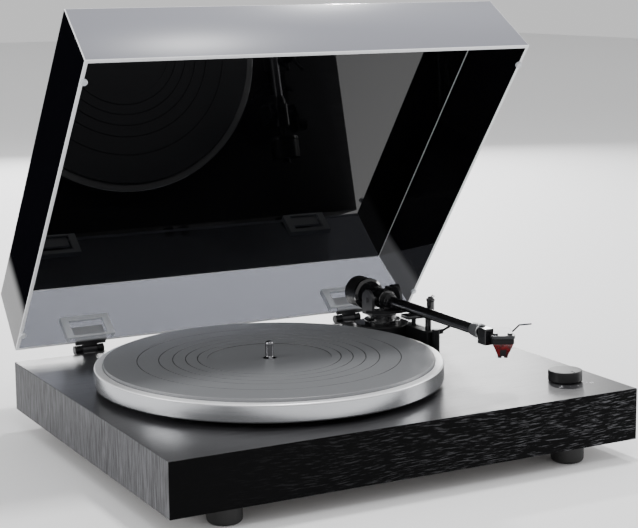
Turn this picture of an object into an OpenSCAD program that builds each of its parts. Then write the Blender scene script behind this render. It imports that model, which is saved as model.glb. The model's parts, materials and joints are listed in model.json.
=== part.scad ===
// Record player with a box plinth, a belt-driven platter, a straight tonearm and a hinged clear lid.
// The deck frame has its origin at the centre of the plinth's top face, +X to the right and +Y back.
// on_deck() moves it so that the finished part stands on Z = 0 with its bounding box centred in X and Y.

/* [Plinth] */
// Width of the plinth
plinth_w = 435; // [420:1:540]
// Depth of the plinth, front to back
plinth_d = 366; // [350:1:460]
// Height of the plinth without its feet
plinth_h = 45; // [42:1:70]
// Thickness of the top panel
top_t = 12; // [9:0.5:14]
// Thickness of the four side panels
side_t = 15; // [12:0.5:20]
// Thickness of the bottom cover
cover_t = 5; // [3:0.5:6]
// Width of the rebate that the bottom cover sits in
rebate_w = 8; // [6:0.5:10]

/* [Feet] */
// Height of a foot
foot_h = 17; // [12:0.5:30]
// Radius of a foot
foot_r = 14.2; // [12:0.1:20]
// Rounding of a foot's lower edge
foot_round = 5; // [2:0.5:7]
// Distance of a foot's centre from the plinth's side
foot_inset_x = 55.5; // [32:0.5:80]
// Distance of a foot's centre from the plinth's front or back
foot_inset_y = 24; // [24:0.5:60]

/* [Platter] */
// Radius of the platter
platter_r = 152.5; // [148:0.5:155]
// Height of the platter's side
platter_h = 15.5; // [14:0.5:22]
// Gap between the plinth and the platter's lower edge
platter_gap = 4.7; // [4:0.1:8]
// Width of the platter's rim around the mat recess
rim_w = 6.6; // [5:0.1:10]
// Thickness of the platter's web
web_t = 4; // [3:0.1:5]
// Depth of the recess that the mat lies in
recess_h = 1.5; // [0.5:0.1:2]
// Distance of the platter's axis left of the plinth's centre
platter_left = 46.5; // [45:0.5:60]
// Distance of the platter's axis in front of the plinth's centre
platter_front = 5.7; // [0:0.1:20]

/* [Mat] */
// Thickness of the mat
mat_t = 4.3; // [3:0.1:5]
// Radius of the mat's centre hole
mat_hole_r = 6.5; // [6.2:0.1:9]
// Radius of the label recess in the mat
label_r = 54.4; // [50:0.2:58]
// Radius of the innermost ring groove
groove_r0 = 62.8; // [62:0.2:66]
// Radius of the outermost ring groove
groove_r1 = 115.2; // [110:0.2:125]
// Width of a ring groove
groove_w = 0.8; // [0.4:0.1:1.5]
// Depth of a ring groove and of the label recess
groove_h = 0.6; // [0.2:0.1:1]

/* [Spindle] */
// Radius of the record spindle
spindle_r = 3.6; // [3.5:0.01:3.65]
// Height of the spindle above the mat
spindle_h = 14.6; // [10:0.1:20]
// Radius of the bearing shaft below the platter
shaft_r = 5; // [4:0.1:6]
// Depth that the bearing shaft reaches below the plinth's top face
shaft_depth = 24; // [18:0.5:26]

/* [Drive] */
// Radius of the sub-platter that the belt runs on
sub_r = 65; // [55:0.5:75]
// Radius of the motor pulley under the belt
pulley_r = 6.5; // [5:0.1:8]
// Distance of the motor's axis from the platter's axis
motor_dist = 90; // [87:0.5:110]
// Direction of the motor seen from the platter's axis, in degrees from +X
motor_angle = 140; // [110:1:250]
// Radius of the motor can
motor_r = 18; // [14:0.5:20]
// Height of the motor can
motor_h = 20; // [14:0.5:22]
// Thickness of the drive belt
belt_t = 0.8; // [0.5:0.1:1]
// Height of the drive belt
belt_h = 5; // [4:0.1:6]

/* [Tonearm] */
// Distance of the arm's pivot right of the plinth's centre
arm_x = 117; // [116:0.5:125]
// Distance of the arm's pivot behind the plinth's centre
arm_y = 79; // [74:0.5:84]
// Height of the arm's pivot above the plinth's top face
arm_z = 44; // [43.5:0.1:50]
// Radius of the arm tube
tube_r = 5; // [4.6:0.1:5.4]
// Wall of the arm tube
tube_wall = 1; // [0.6:0.1:1.2]
// Length from the pivot to the end of the arm tube
tube_len = 168; // [160:1:176]
// Offset angle of the headshell to the arm tube
offset_angle = 26; // [18:0.5:30]
// Length of the headshell plate
shell_len = 36; // [32:0.5:40]
// Width of the headshell plate
shell_w = 21; // [19:0.5:24]
// Thickness of the headshell plate
shell_t = 3; // [2:0.1:4]
// Spacing of the two cartridge screws
screw_pitch = 12.7; // [12.5:0.1:12.9]
// Radius of the counterweight
weight_r = 15; // [12:0.5:16]
// Length of the counterweight
weight_len = 19; // [14:0.5:24]
// Length of the stylus force dial
dial_len = 4.7; // [3:0.1:6]

/* [Arm base] */
// Radius of the arm base drum
base_r = 26; // [24:0.5:27]
// Height of the arm base drum and of the lift housing
base_h = 21; // [18:0.5:23]
// Radius of the vertical bearing shaft of the yoke
yoke_shaft_r = 4; // [3:0.1:5]
// Half of the yoke's width over its two plates
yoke_half = 17; // [16:0.5:19]
// Thickness of a yoke plate
yoke_t = 3; // [2:0.1:4]
// Half of a yoke plate's length, and the radius of its round top
yoke_round = 10; // [8:0.5:11]
// Width of the lift housing
housing_w = 12; // [10:0.5:13]
// Distance from the arm's axis to the lift housing's near side
housing_off = 12; // [11:0.5:13]
// Distance from the arm's pivot to the front of the lift housing
housing_front = 63; // [60:0.5:70]

/* [Lid] */
// Width of the lid at its rim
lid_w = 428.4; // [415:0.2:530]
// Depth of the lid at its rim
lid_d = 350.4; // [345:0.2:440]
// Height of the lid
lid_h = 70.4; // [66:0.2:100]
// Wall of the lid
lid_t = 3; // [2.5:0.1:4]
// Taper of each side wall over the lid's height
side_taper = 4.5; // [0:0.1:6]
// Taper of the front wall over the lid's height
front_taper = 3.6; // [0:0.1:6]
// Taper of the rear wall over the lid's height
rear_taper = 2; // [0:0.1:4]
// Gap between the plinth and the rim of the closed lid
lid_gap = 3; // [2.8:0.1:5]
// Distance of the closed lid's rear face behind the plinth's back
lid_back = 2.5; // [2:0.1:4]
// Opening angle of the lid as drawn
lid_open = 52.6; // [0:0.1:62]

/* [Hinges] */
// Distance of a hinge's centre from the plinth's centre
hinge_x = 141; // [120:1:190]
// Distance of the hinge pin behind the plinth's back
hinge_back = 10.5; // [9.5:0.1:12]
// Height of the hinge pin above the plinth's top face
hinge_up = 1.5; // [1:0.1:2]
// Radius of a hinge knuckle
knuckle_r = 4.2; // [4:0.1:4.5]
// Radius of a hinge pin
pin_r = 1.5; // [1.2:0.1:2]
// Width of a hinge pocket on the lid
pocket_w = 48; // [40:1:60]
// Height of a hinge pocket on the lid
pocket_h = 26; // [20:0.5:34]
// Thickness of a hinge pocket's walls
pocket_t = 2.5; // [2:0.1:3]
// Depth of a hinge pocket
pocket_deep = 7; // [6:0.1:9]

/* [Speed knob] */
// Distance of the knob's axis from the plinth's right side
knob_inset_x = 38; // [30:0.5:45]
// Distance of the knob's axis from the plinth's front
knob_inset_y = 52; // [40:0.5:60]
// Radius of the speed knob
knob_r = 14.9; // [12:0.1:17]
// Height of the speed knob
knob_h = 9.7; // [8:0.1:14]
// Radius of the speed knob's shaft
knob_shaft_r = 3; // [2.5:0.1:3.5]

/* [Sockets] */
// Distance of the socket panel's centre from the plinth's centre
panel_x = 30; // [10:1:60]
// Width of the socket panel
panel_w = 90; // [84:1:100]
// Height of the socket panel
panel_h = 22; // [20:0.5:24]
// Thickness of the socket panel
panel_t = 2; // [1.5:0.1:3]
// Radius of an audio socket's barrel
socket_r = 4.15; // [4.1:0.01:4.2]
// Spacing of the two audio sockets
socket_pitch = 18; // [14:0.5:20]
// Radius of the bore in the power socket
power_bore_r = 2.75; // [2.7:0.01:2.8]

/* [Clearances] */
// Radial clearance of a running fit
run_fit = 0.04; // [0.02:0.01:0.08]
// Clearance between fixed pieces that lie side by side
seat_gap = 0.1; // [0.05:0.01:0.3]
// Clearance between pieces that move past each other
move_gap = 0.5; // [0.3:0.05:0.8]

/* [Hidden] */
$fn = 96;
eps = 0.01;
over = 1;
glue_gap = 0.02;
screw_room = 0.2;
front_y = -plinth_d / 2;
back_y = plinth_d / 2;
floor_z = -plinth_h;
ceiling_z = -top_t;
deck_z = foot_h + plinth_h;

// Hinge axis, and the closed lid's rear lower corner
hinge_y = back_y + hinge_back;
lid_rear_y = back_y + lid_back;
lid_front_y = lid_rear_y - lid_d;
corner_y = lid_rear_y - rear_taper - hinge_y;
corner_z = lid_gap + lid_h - hinge_up;
rim_y = lid_rear_y - hinge_y;
rim_z = lid_gap - hinge_up;
open_corner_y = hinge_y + corner_y * cos(lid_open) + corner_z * sin(lid_open);
open_rim_y = hinge_y + rim_y * cos(lid_open) + rim_z * sin(lid_open);
rear_y = max(open_corner_y, open_rim_y, hinge_y + knuckle_r);
frame_y = -(front_y + rear_y) / 2;

// Platter stack
platter_x = -platter_left;
platter_y = -platter_front;
platter_top = platter_gap + platter_h;
recess_z = platter_top - recess_h;
web_z = recess_z - web_t;
mat_r = platter_r - rim_w - 1.3;
mat_top = recess_z + mat_t;
spindle_top = mat_top + spindle_h;
spindle_tip = 2.2;
spindle_cap_r = mat_hole_r - 0.8;
spindle_cap_h = 1.2;
groove_step = 10;
groove_grow = 0.4;
groove_radii = concat([for (i = [0, 1, 2, 3]) groove_r0 + i * (groove_step + groove_grow * i)], groove_r1);
rim_chamfer = 0.8;

// Main bearing
flange_r = 22;
flange_h = 2.4;
barrel_r = shaft_r + 4;
ball_r = 2.5;
bearing_floor = 3;
ball_z = -shaft_depth - ball_r - eps;
bore_floor_z = ball_z - ball_r - eps;
barrel_end_z = bore_floor_z - bearing_floor;

// Sub-platter and belt drive
hub_r = 12;
hub_z = flange_h + move_gap;
sub_wall = 3;
sub_z = hub_z + 2.4;
belt_z = sub_z + 1.2;
belt_gap = 0.3;
pulley_flange_r = pulley_r + 1.6;
pulley_flange_t = 1;
motor_x = platter_x + motor_dist * cos(motor_angle);
motor_y = platter_y + motor_dist * sin(motor_angle);
motor_shaft_r = 1;
motor_boss_r = 4;
motor_hole_r = pulley_flange_r + 2;
grommet_h = 3;
grommet_r = 5;
plate_t = 1.5;
plate_z = ceiling_z - grommet_h;
motor_top_z = plate_z - plate_t;
motor_screw_ring = motor_r + grommet_r + 2;
motor_screw_angles = [90, 210, 330];
screw_r = 1.5;
screw_head_r = 2.8;
screw_head_h = 1.6;
screw_bite = 7;

// Circuit board
board_x = 110;
board_y = 20;
board_w = 80;
board_d = 60;
board_t = 1.6;
board_z = ceiling_z - grommet_h - board_t;
board_edge = 5;

// Bottom cover and its screws
cover_w = plinth_w - 2 * (side_t - rebate_w);
cover_d = plinth_d - 2 * (side_t - rebate_w);
cover_screw_x = cover_w / 2 - rebate_w / 2;
cover_screw_y = cover_d / 2 - rebate_w / 2;
cover_screws_at = [for (sx = [-1, 0, 1], sy = [-1, 0, 1]) if (sx != 0 || sy != 0)
    [sx * cover_screw_x, sy * cover_screw_y]];
foot_x = plinth_w / 2 - foot_inset_x;
foot_y = plinth_d / 2 - foot_inset_y;
foot_screw_r = 1.9;
foot_screw_head_r = 3.8;
foot_screw_head_h = 2.6;
foot_recess_h = 6;

// Speed knob
knob_x = plinth_w / 2 - knob_inset_x;
knob_y = -plinth_d / 2 + knob_inset_y;
knob_gap = 0.8;
switch_r = 12;
switch_h = 14;
bushing_r = knob_shaft_r + 1.6;
knob_shaft_end = -top_t - switch_h + 4;

// Arm base tower
step_r = 17.5;
step_h = 4;
neck_r = 13.5;
neck_h = 4;
tower_z = base_h + step_h + neck_h;
yoke_floor_z = tower_z + move_gap;
yoke_floor_t = 2.4;
yoke_shaft_end = -top_t + 2;
sleeve_r = yoke_shaft_r + 1.4;
sleeve_end = yoke_shaft_end - 2;
pivot_pin_r = 1.5;
pivot_screw_r = 2.5;
block_r = 9.5;
block_back = 14;
block_boss_r = 4.5;
block_boss_x = yoke_half - yoke_t - move_gap;
collar_r = 7;
collar_end = 16;
ring_r = 6;
ring_end = 18.5;
bracket_back = 20;
bracket_low = yoke_floor_z - arm_z + 6;
bracket_over = 4;
skate_y = 13;
skate_z = 3.8;
skate_r = 6;
skate_len = 8;

// Counterweight and its shaft
weight_shaft_r = 4;
weight_gap = 0.3;
dial_front = 24;
dial_r = weight_r + 0.5;
weight_front = dial_front + dial_len + weight_gap;
weight_shaft_end = weight_front + weight_len + 5;

// Headshell, in arm coordinates: forward of the pivot and right of the tube
lock_r = 6.6;
lock_front = 172.5 - 168 + tube_len;
lock_len = 12.5;
neck_len = 12;
neck_w = 9;
neck_up = 4.5;
neck_down = 10;
plug_r = tube_r - tube_wall - 0.05;
shell_front = lock_front + 24.8;
shell_right = 6;
shell_z = -shell_t;
cart_w = 19;
cart_len = 27;
cart_h = 4.6;
cart_clear = 0.3;
guard_h = 11;
guard_tip_h = 1.4;
guard_tip_w = 3;
guard_top_w = 18;
guard_low_w = 8.4;
guard_len = 16;
wire_r = 0.8;
wire_in = 5;
wire_back = shell_len - 10;
cart_screw_r = 1.25;
cart_screw_head_r = 2.4;
cart_screw_back = 5.5;

// Lift housing, arm rest and cue lever
housing_x = arm_x + housing_off + housing_w / 2;
housing_front_y = arm_y - housing_front;
post_r = 3.7;
post_h = base_h + 3;
post_x = housing_x + 1;
post_y = housing_front_y - post_r - seat_gap;
lever_z = base_h + 0.4;
lever_pin_r = 1.2;
lever_barrel_r = 2.4;
lever_barrel_w = 3;
lever_len = 25;
lever_bar_r = 1.1;
lever_knob_r = 2;
lever_up = 27;
bridge_r = 34;
bridge_w = 3;
bridge_t = 2.5;
bridge_gap = 0.7;
bridge_top = arm_z - tube_r - bridge_gap;
bridge_from = -146;
lift_pin_x = housing_x;
lift_pin_y = arm_y - sqrt(bridge_r * bridge_r - pow(lift_pin_x - arm_x, 2));
bridge_past = 8;
bridge_to = -acos((lift_pin_x - arm_x) / bridge_r) + bridge_past;
lift_pin_r = 2.2;
lift_pin_end = 7;
rest_post_r = 3;
rest_y = housing_front_y + 8;
rest_t = 3.6;
rest_gap = 0.6;
rest_top = arm_z - tube_r - rest_gap;
rest_left = 8;
rest_d = 14;
rest_pin_r = 2.6;
rest_shoulder_r = 3.6;
rest_pin_y = rest_y - 4;
rest_pin_top = arm_z + 10;
clip_z = arm_z + tube_r + 0.9;
clip_t = 2.2;
clip_len = 17;
clip_w = 3;
clip_turn = 40;

// Lid furniture
bumper_r = 3;
bumper_t = lid_gap - 0.4;
bumper_in = 22;
leaf_t = 2.2;
leaf_w = 30;
leaf_z = lid_gap - 0.3 - leaf_t;
tongue_t = 2.4;
tongue_h = 14;
tongue_in = pocket_deep - pocket_t - tongue_t - seat_gap;
tongue_y = lid_rear_y - lid_t - tongue_in - tongue_t;
knuckle_w = 14;
ear_w = 7;
ear_gap = 0.4;
ear_drop = 4;
ear_top = leaf_z - 2 * move_gap;
ear_low = hinge_up - knuckle_r - ear_drop;
base_plate_t = 4;
base_plate_h = 20;
base_low = ear_low - 16;
hinge_screw_dx = knuckle_w / 2 + ear_w / 2;
hinge_screw_z = base_low + 9;

// Rear sockets
panel_z = -plinth_h / 2 - 1;
panel_lip = 4;
panel_recess = panel_t + seat_gap;
socket_len = 9;
socket_flange_r = 5.6;
socket_flange_t = 1;
socket_bore_r = 1.6;
power_w = 11;
power_body = 12;
power_pin_r = 1;
power_bore_deep = 9;

// ---- placing helpers ----
module on_deck() translate([0, frame_y, deck_z]) children();

module on_lid() on_deck() translate([0, hinge_y, hinge_up]) rotate([-lid_open, 0, 0])
    translate([0, -hinge_y, -hinge_up]) children();

module on_platter() on_deck() translate([platter_x, platter_y, 0]) children();

module on_motor() on_deck() translate([motor_x, motor_y, 0]) children();

// The arm frame: origin at the pivot, -Y forward along the tube, +X to the right
module on_arm() on_deck() translate([arm_x, arm_y, arm_z]) children();

// The headshell frame: origin at the middle of the plate's front edge, -Y forward
module on_shell() on_arm() translate([shell_right, -shell_front, 0])
    rotate([0, 0, -offset_angle]) children();

// A cylinder along Y from y0 to y1
module rod_y(r, y0, y1) translate([0, y1, 0]) rotate([90, 0, 0]) cylinder(r = r, h = y1 - y0);

// A cylinder along X from x0 to x1
module rod_x(r, x0, x1) translate([x0, 0, 0]) rotate([0, 90, 0]) cylinder(r = r, h = x1 - x0);

// A bar of round section between two points
module bar(a, b, r) {
    d = b - a;
    flat = norm([d[0], d[1]]);
    translate(a) rotate([0, atan2(flat, d[2]), atan2(d[1], d[0])]) cylinder(r = r, h = norm(d), $fn = 24);
}

// A box centred in X and Y that stands on z
module block(w, d, h, z) translate([-w / 2, -d / 2, z]) cube([w, d, h]);

// A pan-head screw with its head's underside at z = 0 and its shank pointing up
module screw(r, len, head_r, head_h) {
    cylinder(r = r, h = len, $fn = 24);
    difference() {
        translate([0, 0, -head_h]) cylinder(r = head_r, h = head_h, $fn = 32);
        translate([-head_r - 1, -0.4, -head_h - over]) cube([2 * head_r + 2, 0.8, over + 0.7]);
    }
}

// ---- plinth ----
module plinth() color("#1b1b1c") on_deck() difference() {
    block(plinth_w, plinth_d, plinth_h, floor_z);
    block(plinth_w - 2 * side_t, plinth_d - 2 * side_t, plinth_h - top_t + over, floor_z - over);
    block(cover_w, cover_d, cover_t + over, floor_z - over);
    for (p = cover_screws_at) translate([p[0], p[1], floor_z])
        cylinder(r = screw_r, h = cover_t + screw_bite + over, $fn = 24);
    translate([platter_x, platter_y, ceiling_z - over])
        cylinder(r = barrel_r + seat_gap, h = top_t + 2 * over);
    translate([motor_x, motor_y, ceiling_z - over]) cylinder(r = motor_hole_r, h = top_t + 2 * over);
    for (p = motor_screws_at()) translate([p[0], p[1], ceiling_z - over])
        cylinder(r = screw_r, h = screw_bite + over, $fn = 24);
    for (p = board_screws_at()) translate([p[0], p[1], ceiling_z - over])
        cylinder(r = screw_r, h = screw_bite + over, $fn = 24);
    translate([arm_x, arm_y, ceiling_z - over])
        cylinder(r = yoke_shaft_r + 2, h = top_t + 2 * over);
    translate([knob_x, knob_y, ceiling_z - over]) cylinder(r = bushing_r + seat_gap, h = top_t + 2 * over);
    translate([panel_x, back_y, panel_z]) {
        cube([panel_w + 2 * seat_gap, 2 * panel_recess, panel_h + 2 * seat_gap], center = true);
        cube([panel_w - 2 * panel_lip, 2 * side_t + 2 * over, panel_h - 2 * panel_lip], center = true);
    }
    for (p = hinge_screws_at()) translate([p[0], back_y - screw_bite, p[1]])
        rotate([-90, 0, 0]) cylinder(r = screw_r, h = screw_bite + over, $fn = 24);
}

function motor_screws_at() = [for (a = motor_screw_angles)
    [motor_x + motor_screw_ring * cos(a), motor_y + motor_screw_ring * sin(a)]];

function board_screws_at() = [for (sx = [-1, 1], sy = [-1, 1])
    [board_x + sx * (board_w / 2 - board_edge), board_y + sy * (board_d / 2 - board_edge)]];

function hinge_screws_at() = [for (side = [-1, 1], dx = [-1, 1])
    [side * hinge_x + dx * hinge_screw_dx, hinge_screw_z]];

module bottom_cover() color("#2a2622") on_deck() difference() {
    block(cover_w - 2 * seat_gap, cover_d - 2 * seat_gap, cover_t - seat_gap, floor_z);
    for (p = cover_screws_at) translate([p[0], p[1], floor_z - over])
        cylinder(r = screw_r + screw_room, h = cover_t + 2 * over, $fn = 24);
    for (p = cover_screws_at) translate([p[0], p[1], floor_z - over])
        cylinder(r = screw_head_r + screw_room, h = screw_head_h + screw_room + over, $fn = 32);
    for (sx = [-1, 1], sy = [-1, 1]) translate([sx * foot_x, sy * foot_y, floor_z - over])
        cylinder(r = foot_screw_r, h = cover_t + 2 * over, $fn = 24);
}

module cover_screws() color("#8d8f92") on_deck() for (p = cover_screws_at)
    translate([p[0], p[1], floor_z + screw_head_h + screw_room])
        screw(screw_r, cover_t + screw_bite - screw_head_h - 1, screw_head_r, screw_head_h);

// ---- feet ----
module foot(sx, sy) color("#141414") on_deck() translate([sx * foot_x, sy * foot_y, floor_z - foot_h])
    rotate_extrude() difference() {
        union() {
            translate([0, foot_round]) square([foot_r, foot_h - foot_round]);
            square([foot_r - foot_round, foot_round + eps]);
            translate([foot_r - foot_round, foot_round]) intersection() {
                circle(r = foot_round);
                translate([0, -foot_round]) square([foot_round, foot_round + eps]);
            }
        }
        translate([-eps, -eps]) square([foot_screw_head_r + 0.6, foot_recess_h + 3 * eps]);
        translate([-eps, -eps]) square([foot_screw_r + 0.1, foot_h + over]);
    }

module foot_screws() color("#8d8f92") on_deck() for (sx = [-1, 1], sy = [-1, 1])
    translate([sx * foot_x, sy * foot_y, floor_z - foot_h + foot_recess_h])
        screw(foot_screw_r, foot_h - foot_recess_h + cover_t - 0.5, foot_screw_head_r, foot_screw_head_h);

// ---- main bearing ----
module bearing_housing() color("#c9a24a") on_platter() difference() {
    union() {
        cylinder(r = flange_r, h = flange_h);
        translate([0, 0, barrel_end_z]) cylinder(r = barrel_r, h = -barrel_end_z + eps);
    }
    translate([0, 0, bore_floor_z]) cylinder(r = shaft_r + run_fit, h = -bore_floor_z + flange_h + over);
}

module thrust_ball() color("#dddddd") on_platter() translate([0, 0, ball_z]) sphere(r = ball_r);

module spindle() color("#d5d6d8") on_platter() {
    translate([0, 0, -shaft_depth]) cylinder(r = shaft_r, h = shaft_depth + web_z);
    translate([0, 0, web_z - eps]) cylinder(r = spindle_r, h = spindle_top - spindle_tip - web_z + eps);
    translate([0, 0, spindle_top - spindle_tip - eps]) intersection() {
        sphere(r = spindle_r + glue_gap);
        cylinder(r = spindle_r, h = spindle_tip);
    }
    translate([0, 0, mat_top - groove_h - 0.4])
        cylinder(r1 = spindle_cap_r, r2 = spindle_r, h = spindle_cap_h + groove_h);
}

// ---- platter ----
module platter() color("#d9dadc") on_platter() difference() {
    rotate_extrude() polygon([
        [0, web_z],
        [platter_r - rim_w, web_z],
        [platter_r - rim_w, platter_gap],
        [platter_r - rim_chamfer, platter_gap],
        [platter_r, platter_gap + rim_chamfer],
        [platter_r, platter_top - rim_chamfer],
        [platter_r - rim_chamfer, platter_top],
        [mat_r + 0.6, platter_top],
        [mat_r + 0.6, recess_z],
        [0, recess_z]]);
    translate([0, 0, web_z - over]) cylinder(r = spindle_r + glue_gap, h = web_t + 2 * over);
}

module sub_platter() color("#2b2b2e") on_platter() difference() {
    union() {
        translate([0, 0, hub_z]) cylinder(r = hub_r, h = web_z - hub_z);
        translate([0, 0, web_z - sub_wall]) cylinder(r = sub_r, h = sub_wall);
        translate([0, 0, sub_z]) difference() {
            cylinder(r = sub_r, h = web_z - sub_z - eps);
            translate([0, 0, -over]) cylinder(r = sub_r - sub_wall, h = web_z - sub_z + over);
        }
    }
    translate([0, 0, hub_z - over]) cylinder(r = shaft_r + glue_gap, h = web_z - hub_z + 2 * over);
}

module platter_mat() color("#7d8084") on_platter() difference() {
    translate([0, 0, recess_z]) cylinder(r = mat_r, h = mat_t);
    translate([0, 0, recess_z - over]) cylinder(r = mat_hole_r, h = mat_t + 2 * over);
    translate([0, 0, mat_top - groove_h]) cylinder(r = label_r, h = groove_h + over);
    for (r = groove_radii) translate([0, 0, mat_top - groove_h]) difference() {
        cylinder(r = r + groove_w / 2, h = groove_h + over);
        translate([0, 0, -over]) cylinder(r = r - groove_w / 2, h = groove_h + 3 * over);
    }
}

// ---- drive ----
// Outline of a loop round two circles of radius a and b, d apart along +X
module loop_outline(a, b, d) {
    t = acos((a - b) / d);
    circle(r = a);
    translate([d, 0]) circle(r = b);
    polygon([
        [a * cos(t), a * sin(t)],
        [a * cos(t), -a * sin(t)],
        [d + b * cos(t), -b * sin(t)],
        [d + b * cos(t), b * sin(t)]]);
}

module drive_belt() color("#111111") on_platter() rotate([0, 0, motor_angle])
    translate([0, 0, belt_z]) linear_extrude(belt_h) difference() {
        loop_outline(sub_r + belt_gap + belt_t, pulley_r + belt_gap + belt_t, motor_dist);
        loop_outline(sub_r + belt_gap, pulley_r + belt_gap, motor_dist);
    }

module motor_pulley() color("#c7c8ca") on_motor() {
    translate([0, 0, belt_z - belt_gap]) cylinder(r = pulley_r, h = belt_h + 2 * belt_gap);
    for (z = [belt_z - belt_gap - pulley_flange_t, belt_z + belt_h + belt_gap]) translate([0, 0, z])
        cylinder(r = pulley_flange_r, h = pulley_flange_t);
    translate([0, 0, motor_top_z - motor_h / 2])
        cylinder(r = motor_shaft_r, h = belt_z - motor_top_z + motor_h / 2, $fn = 24);
}

module motor() color("#6f7276") on_motor() difference() {
    union() {
        translate([0, 0, motor_top_z - motor_h]) cylinder(r = motor_r, h = motor_h);
        translate([0, 0, motor_top_z - eps]) cylinder(r = motor_boss_r, h = plate_t + 1);
    }
    translate([0, 0, motor_top_z - motor_h / 2 - 1])
        cylinder(r = motor_shaft_r + run_fit, h = motor_h, $fn = 24);
}

module motor_plate() color("#9a9da1") on_motor() translate([0, 0, motor_top_z]) difference() {
    union() {
        cylinder(r = motor_r + 1, h = plate_t);
        for (a = motor_screw_angles) rotate([0, 0, a]) {
            translate([0, -grommet_r, 0]) cube([motor_screw_ring, 2 * grommet_r, plate_t]);
            translate([motor_screw_ring, 0, 0]) cylinder(r = grommet_r, h = plate_t);
        }
    }
    translate([0, 0, -over]) cylinder(r = motor_boss_r + seat_gap, h = plate_t + 2 * over);
    for (a = motor_screw_angles) rotate([0, 0, a]) translate([motor_screw_ring, 0, -over])
        cylinder(r = screw_r + screw_room, h = plate_t + 2 * over, $fn = 24);
}

module motor_grommets() color("#202020") on_deck() for (p = motor_screws_at())
    translate([p[0], p[1], plate_z]) difference() {
        cylinder(r = grommet_r - 0.3, h = grommet_h, $fn = 48);
        translate([0, 0, -over]) cylinder(r = screw_r + screw_room, h = grommet_h + 2 * over, $fn = 24);
    }

module chassis_screws() color("#8d8f92") on_deck() {
    for (p = motor_screws_at()) translate([p[0], p[1], motor_top_z])
        screw(screw_r, plate_t + grommet_h + screw_bite - 0.5, screw_head_r, screw_head_h);
    for (p = board_screws_at()) translate([p[0], p[1], board_z])
        screw(screw_r, board_t + grommet_h + screw_bite - 0.5, screw_head_r, screw_head_h);
}

// ---- electronics ----
module circuit_board() color("#1f5a35") on_deck() difference() {
    union() {
        translate([board_x, board_y, 0]) block(board_w, board_d, board_t, board_z);
        translate([board_x - 18, board_y + 6, 0]) block(16, 12, 6, board_z - 6);
        translate([board_x + 16, board_y - 8, 0]) block(10, 24, 4, board_z - 4);
        for (i = [0, 1, 2]) translate([board_x - 26 + 12 * i, board_y - 18, board_z - 10])
            cylinder(r = 4, h = 10 + eps, $fn = 32);
    }
    for (p = board_screws_at()) translate([p[0], p[1], board_z - over])
        cylinder(r = screw_r + screw_room, h = board_t + 2 * over, $fn = 24);
}

module board_spacers() color("#c8c8c0") on_deck() for (p = board_screws_at())
    translate([p[0], p[1], board_z + board_t]) difference() {
        cylinder(r = 3.2, h = grommet_h, $fn = 32);
        translate([0, 0, -over]) cylinder(r = screw_r + screw_room, h = grommet_h + 2 * over, $fn = 24);
    }

module speed_switch() color("#3a3a3d") on_deck() translate([knob_x, knob_y, 0]) difference() {
    union() {
        translate([0, 0, ceiling_z - switch_h]) cylinder(r = switch_r, h = switch_h);
        translate([0, 0, ceiling_z - eps]) cylinder(r = bushing_r, h = top_t - 0.2);
    }
    translate([0, 0, knob_shaft_end - 1]) cylinder(r = knob_shaft_r + run_fit, h = -knob_shaft_end + 2);
}

module speed_knob() color("#1a1a1c") on_deck() translate([knob_x, knob_y, 0]) difference() {
    union() {
        translate([0, 0, knob_gap]) rotate_extrude() polygon([
            [0, 0],
            [knob_r - 0.6, 0],
            [knob_r, 0.6],
            [knob_r, knob_h - 0.5],
            [knob_r - 0.5, knob_h],
            [0, knob_h]]);
        translate([0, 0, knob_shaft_end]) cylinder(r = knob_shaft_r, h = -knob_shaft_end + knob_gap + eps);
    }
    translate([-0.6, -knob_r - over, knob_gap + knob_h - 0.5]) cube([1.2, 6 + over, over + 0.5]);
}

module socket_panel() color("#26272a") on_deck() translate([panel_x, back_y, panel_z]) difference() {
    translate([-panel_w / 2, -panel_t, -panel_h / 2]) cube([panel_w, panel_t, panel_h]);
    for (p = sockets_at()) translate([p, over, 0]) rotate([90, 0, 0])
        cylinder(r = socket_r + seat_gap, h = panel_t + 2 * over);
    translate([power_at(), over, 0]) rotate([90, 0, 0])
        cylinder(r = power_bore_r + 0.6, h = panel_t + 2 * over);
}

function sockets_at() = [-panel_w / 2 + 16, -panel_w / 2 + 16 + socket_pitch];
function power_at() = panel_w / 2 - 18;

module rca_sockets() color("#b9bbbe") on_deck() for (p = sockets_at())
    translate([panel_x + p, back_y, panel_z]) difference() {
        union() {
            rod_y(socket_r, -panel_t - 5, socket_len);
            rod_y(socket_flange_r, seat_gap, socket_flange_t + seat_gap);
        }
        rod_y(socket_bore_r, socket_len - 8, socket_len + over);
    }

module power_inlet() color("#17171a") on_deck()
    translate([panel_x + power_at(), back_y - panel_t - seat_gap, panel_z]) difference() {
        translate([-power_w / 2, -power_body, -power_w / 2 + 1]) cube([power_w, power_body, power_w - 2]);
        difference() {
            rod_y(power_bore_r, -power_bore_deep, over);
            rod_y(power_pin_r, -power_bore_deep - over, -0.5);
        }
    }

// ---- arm base ----
module arm_base() color("#161617") on_deck() translate([arm_x, arm_y, 0]) difference() {
    union() {
        cylinder(r = base_r, h = base_h - 1);
        cylinder(r = base_r - 1, h = base_h);
    }
    translate([0, 0, -over]) cylinder(r = yoke_shaft_r + 1.5, h = base_h + 2 * over);
}

module arm_pillar() color("#1c1c1e") on_deck() translate([arm_x, arm_y, 0]) difference() {
    union() {
        translate([0, 0, base_h]) cylinder(r = step_r, h = step_h);
        translate([0, 0, base_h]) cylinder(r = neck_r, h = step_h + neck_h);
        translate([0, 0, sleeve_end]) cylinder(r = sleeve_r, h = base_h - sleeve_end + eps);
    }
    translate([0, 0, yoke_shaft_end])
        cylinder(r = yoke_shaft_r + run_fit, h = tower_z - yoke_shaft_end + over);
}

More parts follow.
